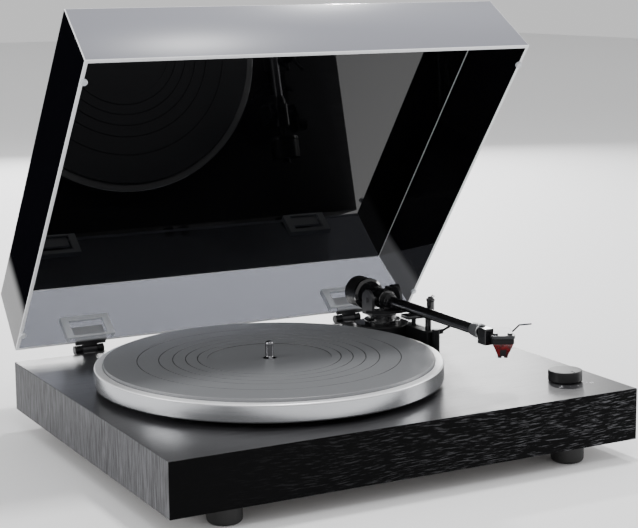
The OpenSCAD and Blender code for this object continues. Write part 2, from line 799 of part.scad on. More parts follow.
module yoke_shaft() color("#c4c5c8") on_deck() translate([arm_x, arm_y, yoke_shaft_end + 0.5])
    cylinder(r = yoke_shaft_r, h = yoke_floor_z - yoke_shaft_end - 0.5 + yoke_floor_t / 2);

// Side view of a yoke plate: straight flanks with a round top about the pivot
module yoke_profile(back) {
    translate([-yoke_round, yoke_floor_z - arm_z]) square([yoke_round + back, arm_z - yoke_floor_z]);
    circle(r = yoke_round);
}

module arm_yoke() color("#2a2b2e") on_arm() difference() {
    union() {
        translate([0, 0, yoke_floor_z - arm_z]) cylinder(r = neck_r, h = yoke_floor_t);
        translate([-yoke_half, -yoke_round, yoke_floor_z - arm_z])
            cube([2 * yoke_half, 2 * yoke_round, yoke_floor_t]);
        translate([-yoke_half, 0, 0]) rotate([90, 0, 90]) linear_extrude(yoke_t) yoke_profile(yoke_round);
        translate([yoke_half - yoke_t, 0, 0]) rotate([90, 0, 90]) linear_extrude(yoke_t) union() {
            yoke_profile(yoke_round);
            translate([0, bracket_low]) square([bracket_back, skate_z + bracket_over - bracket_low]);
        }
    }
    rod_x(pivot_screw_r, -yoke_half - over, yoke_half + over);
    translate([0, 0, yoke_floor_z - arm_z - over]) cylinder(r = yoke_shaft_r, h = over + yoke_floor_t / 2);
    translate([0, skate_y, skate_z]) rod_x(1.5 + run_fit, yoke_half - yoke_t - over, yoke_half + over);
}

module pivot_screws() color("#b5b7ba") on_arm() for (side = [0, 1]) mirror([side, 0, 0])
    difference() {
        union() {
            rod_x(pivot_screw_r - glue_gap, yoke_half - yoke_t, yoke_half + 0.6);
            rod_x(pivot_pin_r, block_boss_x - 3.5, yoke_half - yoke_t + eps);
        }
        translate([yoke_half, -0.4, -pivot_screw_r - over]) cube([2, 0.8, 2 * pivot_screw_r + 2 * over]);
    }

module anti_skate_knob() color("#121214") on_arm() translate([0, skate_y, skate_z]) {
    rod_x(skate_r - 1, yoke_half + move_gap, yoke_half + move_gap + skate_len);
    rod_x(skate_r, yoke_half + move_gap + 1, yoke_half + move_gap + skate_len - 1);
    rod_x(1.5, yoke_half - yoke_t + 0.2, yoke_half + move_gap + eps);
}

// ---- tonearm ----
module pivot_block() color("#151517") on_arm() difference() {
    union() {
        rod_y(block_r, -yoke_round, block_back);
        rod_y(collar_r, -collar_end, -yoke_round + eps);
        rod_y(ring_r, -ring_end, -collar_end + eps);
        rod_x(block_boss_r, -block_boss_x, block_boss_x);
    }
    for (side = [0, 1]) mirror([side, 0, 0])
        rod_x(pivot_pin_r + run_fit, block_boss_x - 4, block_boss_x + over);
    rod_y(tube_r, -ring_end - over, -4);
    rod_y(weight_shaft_r, 4, block_back + over);
}

module arm_tube() color("#1d1e20") on_arm() difference() {
    rod_y(tube_r - 0.01, -tube_len, -4);
    rod_y(tube_r - tube_wall, -tube_len - over, -4 + over);
}

module counterweight_shaft() color("#3b3c3f") on_arm() rod_y(weight_shaft_r - 0.01, 4, weight_shaft_end);

module counterweight() color("#1a1a1b") on_arm() difference() {
    union() {
        rod_y(weight_r - 0.8, weight_front, weight_front + weight_len);
        rod_y(weight_r, weight_front + 0.8, weight_front + weight_len - 0.8);
    }
    rod_y(weight_shaft_r + run_fit, weight_front - over, weight_front + weight_len + over);
}

module force_dial() color("#0f0f10") on_arm() difference() {
    union() {
        rod_y(dial_r, dial_front + 1.2, dial_front + dial_len);
        rod_y(dial_r - 1.2, dial_front, dial_front + dial_len);
    }
    rod_y(weight_shaft_r + run_fit, dial_front - over, dial_front + dial_len + over);
}

module locking_collar() color("#9da0a4") on_arm() difference() {
    union() {
        rod_y(lock_r, -lock_front + 0.3, -lock_front + lock_len - 2);
        rod_y(lock_r - 0.6, -lock_front + 0.3, -lock_front + lock_len);
    }
    rod_y(tube_r + run_fit, -lock_front - over, -lock_front + lock_len + over);
}

module headshell() color("#b8babd") on_arm() difference() {
    union() {
        translate([-neck_w / 2, -lock_front - neck_len, -neck_down])
            cube([neck_w, neck_len, neck_down + neck_up]);
        rod_y(plug_r, -lock_front - eps, -lock_front + 10);
        translate([shell_right, -shell_front, shell_z]) rotate([0, 0, -offset_angle])
            linear_extrude(shell_t) shell_outline();
    }
    translate([shell_right, -shell_front, 0]) rotate([0, 0, -offset_angle])
        union() {
            for (side = [-1, 1]) translate([side * screw_pitch / 2, cart_screw_back, shell_z - over])
                cylinder(r = cart_screw_r + 0.1, h = shell_t + 2 * over, $fn = 24);
            translate([shell_w / 2 - wire_in, wire_back, -shell_t / 2])
                rod_x(wire_r + 0.01, 0, wire_in + over);
            // The neck stays clear of the cartridge and its guard
            translate([-cart_w / 2 - cart_clear, -over, -neck_down - over])
                cube([cart_w + 2 * cart_clear, 1 + cart_len + cart_clear + over, neck_down + over + shell_z]);
        }
}

// Plan of the headshell plate: its front corners are rounded and its rear left corner is cut back
module shell_outline() {
    r = 3;
    half = shell_w / 2;
    translate([-half, r]) square([shell_w, shell_len - r - 8]);
    translate([-half + r, 0]) square([shell_w - 2 * r, r + eps]);
    for (side = [-1, 1]) translate([side * (half - r), r]) circle(r = r);
    polygon([
        [-half, shell_len - 8 - eps],
        [half, shell_len - 8 - eps],
        [half, shell_len],
        [-half + 5, shell_len]]);
}

module cartridge() color("#101011") on_shell() difference() {
    translate([-cart_w / 2, 1, shell_z - cart_h]) cube([cart_w, cart_len, cart_h - 0.02]);
    for (side = [-1, 1]) translate([side * screw_pitch / 2, cart_screw_back, shell_z - cart_h - over])
        cylinder(r = cart_screw_r + 0.05, h = cart_h + 2 * over, $fn = 24);
}

// Stylus unit with its guard, tapered in front view and in side view, with two tips below
module stylus() color("#7d1616") on_shell() translate([0, 1, shell_z - cart_h - 0.02]) difference() {
    union() {
        intersection() {
            translate([0, guard_len, 0]) rotate([90, 0, 0]) linear_extrude(guard_len) polygon([
                [-guard_top_w / 2, 0],
                [guard_top_w / 2, 0],
                [guard_low_w / 2, -guard_h],
                [-guard_low_w / 2, -guard_h]]);
            translate([-guard_top_w / 2, 0, 0]) rotate([90, 0, 90]) linear_extrude(guard_top_w) polygon([
                [0, 0],
                [guard_len, 0],
                [guard_len * 0.55, -guard_h],
                [1.5, -guard_h]]);
        }
        for (side = [-1, 1]) translate([side * (guard_low_w - guard_tip_w) / 2 - guard_tip_w / 2, 1.5,
            -guard_h - guard_tip_h]) cube([guard_tip_w, 5, guard_tip_h + 1]);
    }
    for (side = [-1, 1]) translate([side * screw_pitch / 2, cart_screw_back - 1, -2.6])
        cylinder(r = 2.6, h = 2.6 + over, $fn = 32);
}

module cartridge_screws() color("#c9cacd") on_shell() for (side = [-1, 1])
    translate([side * screw_pitch / 2, cart_screw_back, 0]) {
        translate([0, 0, shell_z - cart_h - 1.5])
            cylinder(r = cart_screw_r, h = shell_t + cart_h + 1.5 + eps, $fn = 24);
        cylinder(r = cart_screw_head_r, h = 1.4, $fn = 32);
        translate([0, 0, shell_z - cart_h - 2]) cylinder(r = 2.1, h = 1.9, $fn = 6);
    }

// Bent wire whose inner end is pressed into the right edge of the headshell plate
module finger_lift() color("#8a8c90") on_shell() {
    a = [shell_w / 2 - wire_in + 0.5, wire_back, -shell_t / 2];
    b = [shell_w / 2 + 1.5, wire_back, -shell_t / 2];
    c = [shell_w / 2 + 7, wire_back - 1, 4.2];
    d = [shell_w / 2 + 17, wire_back - 3, 5.4];
    bar(a, b, wire_r);
    bar(b, c, wire_r);
    bar(c, d, wire_r);
    for (p = [b, c, d]) translate(p) sphere(r = wire_r + 0.1, $fn = 24);
}

// ---- lift housing, arm rest and cue lever ----
module lift_housing() color("#141415") on_deck() difference() {
    translate([housing_x - housing_w / 2, housing_front_y, 0]) cube([housing_w, housing_front, base_h]);
    translate([arm_x, arm_y, -over]) cylinder(r = base_r + seat_gap, h = base_h + 2 * over);
    translate([lift_pin_x, lift_pin_y, 1]) cylinder(r = lift_pin_r + run_fit, h = base_h, $fn = 48);
}

module lever_post() color("#121213") on_deck() translate([post_x, post_y, 0]) difference() {
    cylinder(r = post_r, h = post_h);
    translate([0, 0, lever_z]) rod_x(lever_pin_r + run_fit, 0, post_r + over);
}

module cue_lever() color("#161617") on_deck() translate([post_x, post_y, lever_z]) {
    reach = [lever_len * cos(lever_up), lever_len * sin(lever_up)];
    mid_x = post_r + move_gap + lever_barrel_w / 2;
    rod_x(lever_pin_r, 0.5, post_r + move_gap + eps);
    rod_x(lever_barrel_r, post_r + move_gap, post_r + move_gap + lever_barrel_w);
    bar([mid_x, 0, 0], [mid_x, -reach[0], reach[1]], lever_bar_r);
    translate([mid_x, -reach[0], reach[1]]) sphere(r = lever_knob_r, $fn = 32);
}

module lift_bridge() color("#18181a") on_deck() {
    translate([arm_x, arm_y, bridge_top - bridge_t]) rotate([0, 0, bridge_from])
        rotate_extrude(angle = bridge_to - bridge_from)
            translate([bridge_r - bridge_w / 2, 0]) square([bridge_w, bridge_t]);
    translate([lift_pin_x, lift_pin_y, lift_pin_end])
        cylinder(r = lift_pin_r, h = bridge_top - lift_pin_end, $fn = 48);
}

module arm_rest() color("#141416") on_deck() {
    translate([housing_x, rest_y, base_h])
        cylinder(r = rest_post_r, h = rest_top - rest_t - base_h + eps, $fn = 48);
    translate([arm_x - rest_left, rest_y - rest_d / 2, rest_top - rest_t])
        cube([housing_x + rest_post_r - arm_x + rest_left, rest_d, rest_t]);
    translate([housing_x, rest_pin_y, rest_top - eps]) {
        cylinder(r = rest_pin_r, h = rest_pin_top - rest_pin_r - rest_top, $fn = 48);
        cylinder(r = rest_shoulder_r, h = clip_z - 0.3 - rest_top, $fn = 48);
    }
    translate([housing_x, rest_pin_y, rest_pin_top - rest_pin_r - 2 * eps])
        sphere(r = rest_pin_r + run_fit / 2, $fn = 48);
}

// Clip that turns about the arm rest's pin, drawn open, with a hooked end
module arm_clip() color("#1a1a1c") on_deck()
    translate([housing_x, rest_pin_y, clip_z]) rotate([0, 0, -clip_turn]) difference() {
        union() {
            cylinder(r = rest_pin_r + 1.6, h = clip_t, $fn = 48);
            translate([-clip_w / 2, 0, 0]) cube([clip_w, clip_len, clip_t]);
            translate([0, clip_len, 0]) cylinder(r = clip_w / 2, h = clip_t, $fn = 32);
        }
        translate([0, 0, -over]) cylinder(r = rest_pin_r + run_fit, h = clip_t + 2 * over, $fn = 48);
    }

// ---- lid ----
// A box with tapered walls, drawn closed, and set in from the lid's outside by t
module lid_form(t, z0, z1) {
    // The taper per unit of height keeps the inner walls parallel to the outer ones
    s = side_taper / lid_h;
    f = front_taper / lid_h;
    r = rear_taper / lid_h;
    half = lid_w / 2 - t;
    intersection() {
        translate([0, lid_rear_y + over, lid_gap]) rotate([90, 0, 0]) linear_extrude(lid_d + 2 * over)
            polygon([
                [-half + s * z0, z0],
                [half - s * z0, z0],
                [half - s * z1, z1],
                [-half + s * z1, z1]]);
        translate([-lid_w / 2 - over, 0, lid_gap]) rotate([90, 0, 90]) linear_extrude(lid_w + 2 * over)
            polygon([
                [lid_front_y + t + f * z0, z0],
                [lid_rear_y - t - r * z0, z0],
                [lid_rear_y - t - r * z1, z1],
                [lid_front_y + t + f * z1, z1]]);
    }
}

module lid() color("#9aa0a6", 0.35) on_lid() difference() {
    lid_form(0, 0, lid_h);
    lid_form(lid_t, -over, lid_h - lid_t);
}

// Clear frame on the inside of the rear wall that a hinge leaf slides into
module hinge_pocket(side) color("#e8eef2", 0.6) on_lid() difference() {
    translate([side * hinge_x - pocket_w / 2, lid_rear_y - lid_t - pocket_deep, lid_gap]) difference() {
        cube([pocket_w, pocket_deep + over, pocket_h]);
        translate([pocket_t, pocket_t, -over])
            cube([pocket_w - 2 * pocket_t, pocket_deep + over, pocket_h - pocket_t + over]);
        translate([3 * pocket_t, -over, pocket_t])
            cube([pocket_w - 6 * pocket_t, pocket_deep + over, pocket_h - 3 * pocket_t]);
    }
    pocket_cut();
}

// Space of the rear wall, which the pocket stops against
module pocket_cut() {
    r = rear_taper / lid_h;
    translate([-lid_w / 2, 0, lid_gap]) rotate([90, 0, 90]) linear_extrude(lid_w) polygon([
        [lid_rear_y - lid_t - glue_gap + r, -over],
        [lid_rear_y + 10, -over],
        [lid_rear_y + 10, lid_h],
        [lid_rear_y - lid_t - glue_gap - rear_taper, lid_h]]);
}

module hinge_leaf(side) color("#54575b") on_lid() difference() {
    union() {
        translate([side * hinge_x - leaf_w / 2, tongue_y, leaf_z])
            cube([leaf_w, tongue_t, lid_gap + tongue_h - leaf_z]);
        translate([side * hinge_x - leaf_w / 2, tongue_y, leaf_z])
            cube([leaf_w, lid_rear_y - tongue_y, leaf_t]);
        translate([side * hinge_x - knuckle_w / 2, lid_rear_y - eps, leaf_z])
            cube([knuckle_w, hinge_y - lid_rear_y, leaf_t]);
        translate([side * hinge_x, hinge_y, hinge_up]) rod_x(knuckle_r, -knuckle_w / 2, knuckle_w / 2);
    }
    translate([side * hinge_x, hinge_y, hinge_up]) rod_x(pin_r, -knuckle_w, knuckle_w);
}

module hinge_pins() color("#c6c8cb") on_lid() for (side = [-1, 1])
    translate([side * hinge_x, hinge_y, hinge_up])
        rod_x(pin_r - 0.01, -knuckle_w / 2 - ear_gap - ear_w, knuckle_w / 2 + ear_gap + ear_w);

module hinge_base(side) color("#1c1c1e") on_deck() translate([side * hinge_x, 0, 0]) difference() {
    half = knuckle_w / 2 + ear_gap + ear_w;
    union() {
        translate([-half, back_y, base_low]) cube([2 * half, base_plate_t, base_plate_h]);
        for (x = [-half, half - ear_w]) translate([x, 0, 0]) {
            translate([0, back_y, base_low]) cube([ear_w, base_plate_t, ear_top - base_low]);
            translate([0, back_y, ear_low]) cube([ear_w, hinge_back, ear_top - ear_low]);
            translate([0, hinge_y, hinge_up]) rod_x(knuckle_r, 0, ear_w);
        }
    }
    translate([0, hinge_y, hinge_up]) rod_x(pin_r + run_fit, -half - over, half + over);
    for (dx = [-1, 1]) translate([dx * hinge_screw_dx, back_y - over, hinge_screw_z])
        rotate([-90, 0, 0]) cylinder(r = screw_r + screw_room, h = base_plate_t + 2 * over, $fn = 24);
}

module hinge_screws() color("#8d8f92") on_deck() for (p = hinge_screws_at())
    translate([p[0], back_y + base_plate_t, p[1]]) rotate([90, 0, 0])
        screw(screw_r, base_plate_t + screw_bite - 0.5, screw_head_r, screw_head_h);

module lid_bumpers() color("#d8dcdf") on_lid()
    for (side = [-1, 1], y = [lid_front_y + bumper_in, lid_rear_y - bumper_in])
        translate([side * (lid_w / 2 - bumper_r - 0.3), y, lid_gap - bumper_t])
            cylinder(r = bumper_r, h = bumper_t, $fn = 32);

plinth();
bottom_cover();
cover_screws();
foot(-1, -1);  // foot_front_left
foot(1, -1);  // foot_front_right
foot(-1, 1);  // foot_rear_left
foot(1, 1);  // foot_rear_right
foot_screws();
bearing_housing();
thrust_ball();
motor();
motor_plate();
motor_grommets();
chassis_screws();
drive_belt();
circuit_board();
board_spacers();
socket_panel();
rca_sockets();
power_inlet();
speed_switch();
arm_base();
arm_pillar();
lift_housing();
lever_post();
arm_rest();
hinge_base(-1);  // hinge_base_left
hinge_base(1);  // hinge_base_right
hinge_screws();
platter();
sub_platter();
spindle();
platter_mat();
motor_pulley();
lid();
hinge_pocket(-1);  // hinge_pocket_left
hinge_pocket(1);  // hinge_pocket_right
hinge_leaf(-1);  // hinge_leaf_left
hinge_leaf(1);  // hinge_leaf_right
hinge_pins();
lid_bumpers();
arm_yoke();
yoke_shaft();
pivot_screws();
pivot_block();
arm_tube();
counterweight_shaft();
locking_collar();
headshell();
cartridge();
stylus();
finger_lift();
cartridge_screws();
counterweight();
force_dial();
anti_skate_knob();
cue_lever();
lift_bridge();
arm_clip();
speed_knob();
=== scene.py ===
"""Looks of a record player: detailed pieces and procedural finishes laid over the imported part."""
import sys
import json
import logging
import math
from dataclasses import dataclass, field
from enum import Enum
from typing import Iterable, Optional, Sequence, Union

import bmesh
import bpy
from mathutils import Matrix, Vector


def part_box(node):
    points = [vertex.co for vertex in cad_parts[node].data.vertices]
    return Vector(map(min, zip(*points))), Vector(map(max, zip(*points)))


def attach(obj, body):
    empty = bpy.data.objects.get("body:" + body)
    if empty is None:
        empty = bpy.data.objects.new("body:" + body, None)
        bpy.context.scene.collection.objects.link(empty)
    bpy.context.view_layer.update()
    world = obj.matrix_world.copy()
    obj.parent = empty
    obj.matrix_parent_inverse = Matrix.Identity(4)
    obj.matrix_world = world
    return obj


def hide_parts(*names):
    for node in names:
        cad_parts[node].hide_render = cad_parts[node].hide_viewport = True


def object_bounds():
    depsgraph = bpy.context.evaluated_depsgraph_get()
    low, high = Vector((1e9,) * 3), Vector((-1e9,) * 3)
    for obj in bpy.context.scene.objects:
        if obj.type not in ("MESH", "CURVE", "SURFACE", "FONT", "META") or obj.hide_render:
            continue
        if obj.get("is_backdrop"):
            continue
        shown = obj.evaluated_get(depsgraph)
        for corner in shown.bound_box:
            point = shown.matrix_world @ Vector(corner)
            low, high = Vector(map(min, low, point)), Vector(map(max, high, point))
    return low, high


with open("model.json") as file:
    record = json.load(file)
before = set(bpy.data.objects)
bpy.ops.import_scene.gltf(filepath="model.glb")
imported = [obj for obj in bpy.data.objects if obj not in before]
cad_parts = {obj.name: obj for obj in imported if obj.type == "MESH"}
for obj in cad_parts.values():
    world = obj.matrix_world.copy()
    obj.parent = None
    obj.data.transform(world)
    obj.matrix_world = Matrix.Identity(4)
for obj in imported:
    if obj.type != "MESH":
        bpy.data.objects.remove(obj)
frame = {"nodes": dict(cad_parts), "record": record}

LOG = logging.getLogger("record_player")
MM = 0.001
SHARP_DEGREES = 38
Pair = tuple[float, float]
Colour = tuple[float, float, float]


# ---- measuring ----
@dataclass(frozen=True)
class Box:
    """Axis-aligned box, in metres."""

    lo: Vector
    hi: Vector

    @staticmethod
    def of(node: str, turn: Optional[Matrix] = None) -> "Box":
        """Measures a CAD node.

        Args:
            node: Name of the node.
            turn: Matrix from the row frame to the frame to measure in; none for the row frame.

        Returns:
            The node's box in that frame.
        """
        if turn is None:
            lo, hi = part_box(node)
            return Box(Vector(lo), Vector(hi))
        points = [turn @ v.co for v in frame["nodes"][node].data.vertices]
        return Box(Vector(map(min, *points)), Vector(map(max, *points)))

    @property
    def mid(self) -> Vector:
        """Centre of the box."""
        return (self.lo + self.hi) / 2

    @property
    def size(self) -> Vector:
        """Lengths of the box's sides."""
        return self.hi - self.lo


def joint(name: str) -> dict:
    """Finds a joint of the record.

    Args:
        name: The joint's name.

    Returns:
        The joint's entry.
    """
    return next(j for j in frame["record"]["behaviour"]["joints"] if j["name"] == name)


def joint_point(name: str) -> Vector:
    """Gives a joint's stated point.

    Args:
        name: The joint's name.

    Returns:
        The point in the row frame.
    """
    return Vector(joint(name)["pos_m"])


def at(point: Vector, axis: str = "Z") -> Matrix:
    """Makes the frame of a turned part.

    Args:
        point: Origin of the frame.
        axis: Row axis that the frame's Z lies along: X, Y or Z.

    Returns:
        Matrix from that frame to the row frame.
    """
    turns = {
        "X": Matrix.Rotation(math.pi / 2, 4, "Y"),
        "Y": Matrix.Rotation(-math.pi / 2, 4, "X"),
        "Z": Matrix.Identity(4),
    }
    return Matrix.Translation(point) @ turns[axis]


def upright(box: Box, height: float = 0.0) -> Matrix:
    """Makes the upright frame on a box's middle axis.

    Args:
        box: The box.
        height: Height of the frame's origin.

    Returns:
        Matrix from that frame to the row frame.
    """
    return at(Vector((box.mid.x, box.mid.y, height)))


def pointing(start: Vector, end: Vector) -> Matrix:
    """Makes the frame at one point whose Z runs towards another.

    Args:
        start: Origin of the frame.
        end: Point that its Z runs towards.

    Returns:
        Matrix from that frame to the row frame.
    """
    return Matrix.Translation(start) @ (end - start).to_track_quat("Z", "Y").to_matrix().to_4x4()


def arc(radius: float, start: float, end: float, steps: int, centre: Pair = (0.0, 0.0)) -> list[Pair]:
    """Gives the points of a round stretch.

    Args:
        radius: Its radius.
        start: First angle, in degrees.
        end: Last angle, in degrees.
        steps: Straight pieces along it.
        centre: Its centre.

    Returns:
        The points from the first angle to the last.
    """
    turns = [math.radians(start + (end - start) * k / steps) for k in range(steps + 1)]
    return [(centre[0] + radius * math.cos(turn), centre[1] + radius * math.sin(turn)) for turn in turns]


def soften(profile: Sequence[Pair], radius: Union[float, Sequence[float]], closed: bool = False,
           steps: int = 4) -> list[Pair]:
    """Rounds the corners of a profile.

    Args:
        profile: Corner points.
        radius: Rounding of every corner, or one value per corner.
        closed: Whether the last point joins the first.
        steps: Straight pieces per rounded corner.

    Returns:
        The rounded profile.
    """
    count = len(profile)
    radii = [radius] * count if isinstance(radius, (int, float)) else list(radius)
    out: list[Pair] = []
    for i, point in enumerate(profile):
        here = Vector(point)
        if radii[i] <= 0 or (not closed and i in (0, count - 1)):
            out.append(point)
            continue
        back, ahead = Vector(profile[i - 1]) - here, Vector(profile[(i + 1) % count]) - here
        reach = min(radii[i], back.length * 0.45, ahead.length * 0.45)
        start, end = here + back.normalized() * reach, here + ahead.normalized() * reach
        for k in range(steps + 1):
            t = k / steps
            curve = start * (1 - t) ** 2 + here * 2 * t * (1 - t) + end * t ** 2
            out.append((curve.x, curve.y))
    return out


# ---- meshes ----
def add_object(name: str, data: Optional[bpy.types.ID]) -> bpy.types.Object:
    """Adds an object to the scene.

    Args:
        name: Its name.
        data: Its mesh, light or camera.

    Returns:
        The object.
    """
    made = bpy.data.objects.new(name, data)
    bpy.context.scene.collection.objects.link(made)
    return made


def block(lo: Vector, hi: Vector, taper: Sequence[float], top: bool = False) -> bmesh.types.BMesh:
    """Makes a box with one end drawn in.

    Args:
        lo: Lowest corner.
        hi: Highest corner.
        taper: How far that end is drawn in at low x, high x, low y and high y.
        top: Whether that end is the upper one.

    Returns:
        The mesh.
    """
    part = bmesh.new()
    mid = (lo + hi) / 2
    bmesh.ops.create_cube(part, size=1)
    bmesh.ops.scale(part, vec=hi - lo, verts=part.verts)
    bmesh.ops.translate(part, vec=mid, verts=part.verts)
    for vert in part.verts:
        if (vert.co.z > mid.z) == top:
            vert.co.x += taper[0] if vert.co.x < mid.x else -taper[1]
            vert.co.y += taper[2] if vert.co.y < mid.y else -taper[3]
    return part


def round_edges(part: bmesh.types.BMesh, edges: Iterable[bmesh.types.BMEdge], radius: float, segments: int,
                material: int = -1) -> None:
    """Rounds edges of a mesh.

    Args:
        part: The mesh.
        edges: The edges to round.
        radius: Size of the rounding; nothing is done if 0.
        segments: Pieces per rounded edge.
        material: Material index of the new faces, or -1 for their neighbours'.
    """
    if radius > 0:
        bmesh.ops.bevel(part, geom=list(edges), offset=radius, offset_type="OFFSET", segments=segments,
                        profile=0.5, affect="EDGES", clamp_overlap=True, material=material)


class Shell:
    """Collects the closed shells of one piece in a single mesh."""

    def __init__(self) -> None:
        """Starts with no shells."""
        self.bm = bmesh.new()

    def take(self, part: bmesh.types.BMesh, place: Matrix, mat: int) -> "Shell":
        """Adds a finished shell.

        Args:
            part: The shell, in its own frame. It is freed.
            place: Matrix to the row frame.
            mat: Material index of its faces, or -1 to keep the ones they have.

        Returns:
            This object.
        """
        bmesh.ops.recalc_face_normals(part, faces=part.faces)
        bmesh.ops.transform(part, matrix=place, verts=part.verts)
        for face in part.faces:
            face.smooth = True
            if mat >= 0:
                face.material_index = mat
        mesh = bpy.data.meshes.new("part")
        part.to_mesh(mesh)
        part.free()
        self.bm.from_mesh(mesh)
        bpy.data.meshes.remove(mesh)
        return self

    def lathe(self, profile: Sequence[Pair], place: Matrix, closed: bool = False, steps: int = 96,
              mat: int = 0) -> "Shell":
        """Spins a profile about its frame's Z axis.

        Args:
            profile: Pairs of radius and height. An open profile starts and ends on the axis.
            place: Matrix to the row frame.
            closed: Whether the profile is a closed ring, as for a part with a hole.
            steps: Number of segments round the axis.
            mat: Material index.

        Returns:
            This object.
        """
        part = bmesh.new()
        verts = [part.verts.new((r, 0, z)) for r, z in profile]
        edges = [part.edges.new(pair) for pair in zip(verts, verts[1:])]
        if closed:
            edges.append(part.edges.new((verts[-1], verts[0])))
        bmesh.ops.spin(part, geom=verts + edges, cent=(0, 0, 0), axis=(0, 0, 1), dvec=(0, 0, 0),
                       angle=2 * math.pi, steps=steps, use_merge=True)
        bmesh.ops.remove_doubles(part, verts=part.verts, dist=1e-7)
        return self.take(part, place, mat)

    def rod(self, radius: float, start: float, end: float, place: Matrix, bore: float = 0.0,
            edge: float = 0.3 * MM, steps: int = 64, mat: int = 0) -> "Shell":
        """Adds a round bar or sleeve along its frame's Z axis.

        Args:
            radius: Outer radius.
            start: Lower end.
            end: Upper end.
            place: Matrix to the row frame.
            bore: Radius of the hole along it; none if 0.
            edge: Rounding of its edges.
            steps: Number of segments round the axis.
            mat: Material index.

        Returns:
            This object.
        """
        if bore > 0:
            ring = [(bore, start), (radius, start), (radius, end), (bore, end)]
            return self.lathe(soften(ring, edge, closed=True, steps=3), place, True, steps, mat)
        line = [(0, start), (radius, start), (radius, end), (0, end)]
        return self.lathe(soften(line, edge, steps=3), place, False, steps, mat)

    def slab(self, lo: Sequence[float], hi: Sequence[float], edge: float = 0.3 * MM,
             place: Matrix = Matrix.Identity(4), taper: Sequence[float] = (0, 0, 0, 0), mat: int = 0,
             segments: int = 3) -> "Shell":
        """Adds a box with rounded edges.

        Args:
            lo: Lowest corner.
            hi: Highest corner.
            edge: Rounding of its edges.
            place: Matrix to the row frame.
            taper: How far the lower face is drawn in at low x, high x, low y and high y.
            mat: Material index.
            segments: Pieces per rounded edge.

        Returns:
            This object.
        """
        part = block(Vector(lo), Vector(hi), taper)
        round_edges(part, part.edges, edge, segments)
        return self.take(part, place, mat)

    def prism(self, outline: Sequence[Pair], low: float, high: float, place: Matrix = Matrix.Identity(4),
              edge: float = 0.3 * MM, mat: int = 0) -> "Shell":
        """Adds a flat outline drawn out along Z, with rounded rims.

        Args:
            outline: Points of the outline.
            low: Height of its lower face.
            high: Height of its upper face.
            place: Matrix to the row frame.
            edge: Rounding of the two rims.
            mat: Material index.

        Returns:
            This object.
        """
        part = bmesh.new()
        face = part.faces.new([part.verts.new((x, y, low)) for x, y in outline])
        grown = bmesh.ops.extrude_face_region(part, geom=[face])
        top = [v for v in grown["geom"] if isinstance(v, bmesh.types.BMVert)]
        bmesh.ops.translate(part, vec=(0, 0, high - low), verts=top)
        bmesh.ops.recalc_face_normals(part, faces=part.faces)
        rims = [e for e in part.edges if abs(e.verts[0].co.z - e.verts[1].co.z) < 1e-9]
        round_edges(part, rims, edge, 2)
        return self.take(part, place, mat)

    def ball(self, radius: float, centre: Vector, mat: int = 0) -> "Shell":
        """Adds a sphere.

        Args:
            radius: Its radius.
            centre: Its centre in the row frame.
            mat: Material index.

        Returns:
            This object.
        """
        part = bmesh.new()
        bmesh.ops.create_uvsphere(part, u_segments=32, v_segments=20, radius=radius)
        return self.take(part, Matrix.Translation(centre), mat)

    def object(self, name: str) -> bpy.types.Object:
        """Turns the shells into an object at the origin.

        Args:
            name: Name of the piece.

        Returns:
            The new object.
        """
        mesh = bpy.data.meshes.new(name)
        self.bm.to_mesh(mesh)
        self.bm.free()
        return add_object(name, mesh)


def carve(body: bpy.types.Object, tool: Shell) -> None:
    """Cuts a tool's shells out of a piece.

    Args:
        body: The piece. Its mesh is replaced.
        tool: The shells to take away.
    """
    cutter = tool.object("cutter")
    cut = body.modifiers.new("cut", "BOOLEAN")
    cut.object, cut.operation, cut.solver = cutter, "DIFFERENCE", "EXACT"
    bpy.context.view_layer.update()
    graph = bpy.context.evaluated_depsgraph_get()
    mesh = bpy.data.meshes.new_from_object(body.evaluated_get(graph))
    body.modifiers.clear()
    old, body.data = body.data, mesh
    bpy.data.meshes.remove(old)
    spare = cutter.data
    bpy.data.objects.remove(cutter)
    bpy.data.meshes.remove(spare)


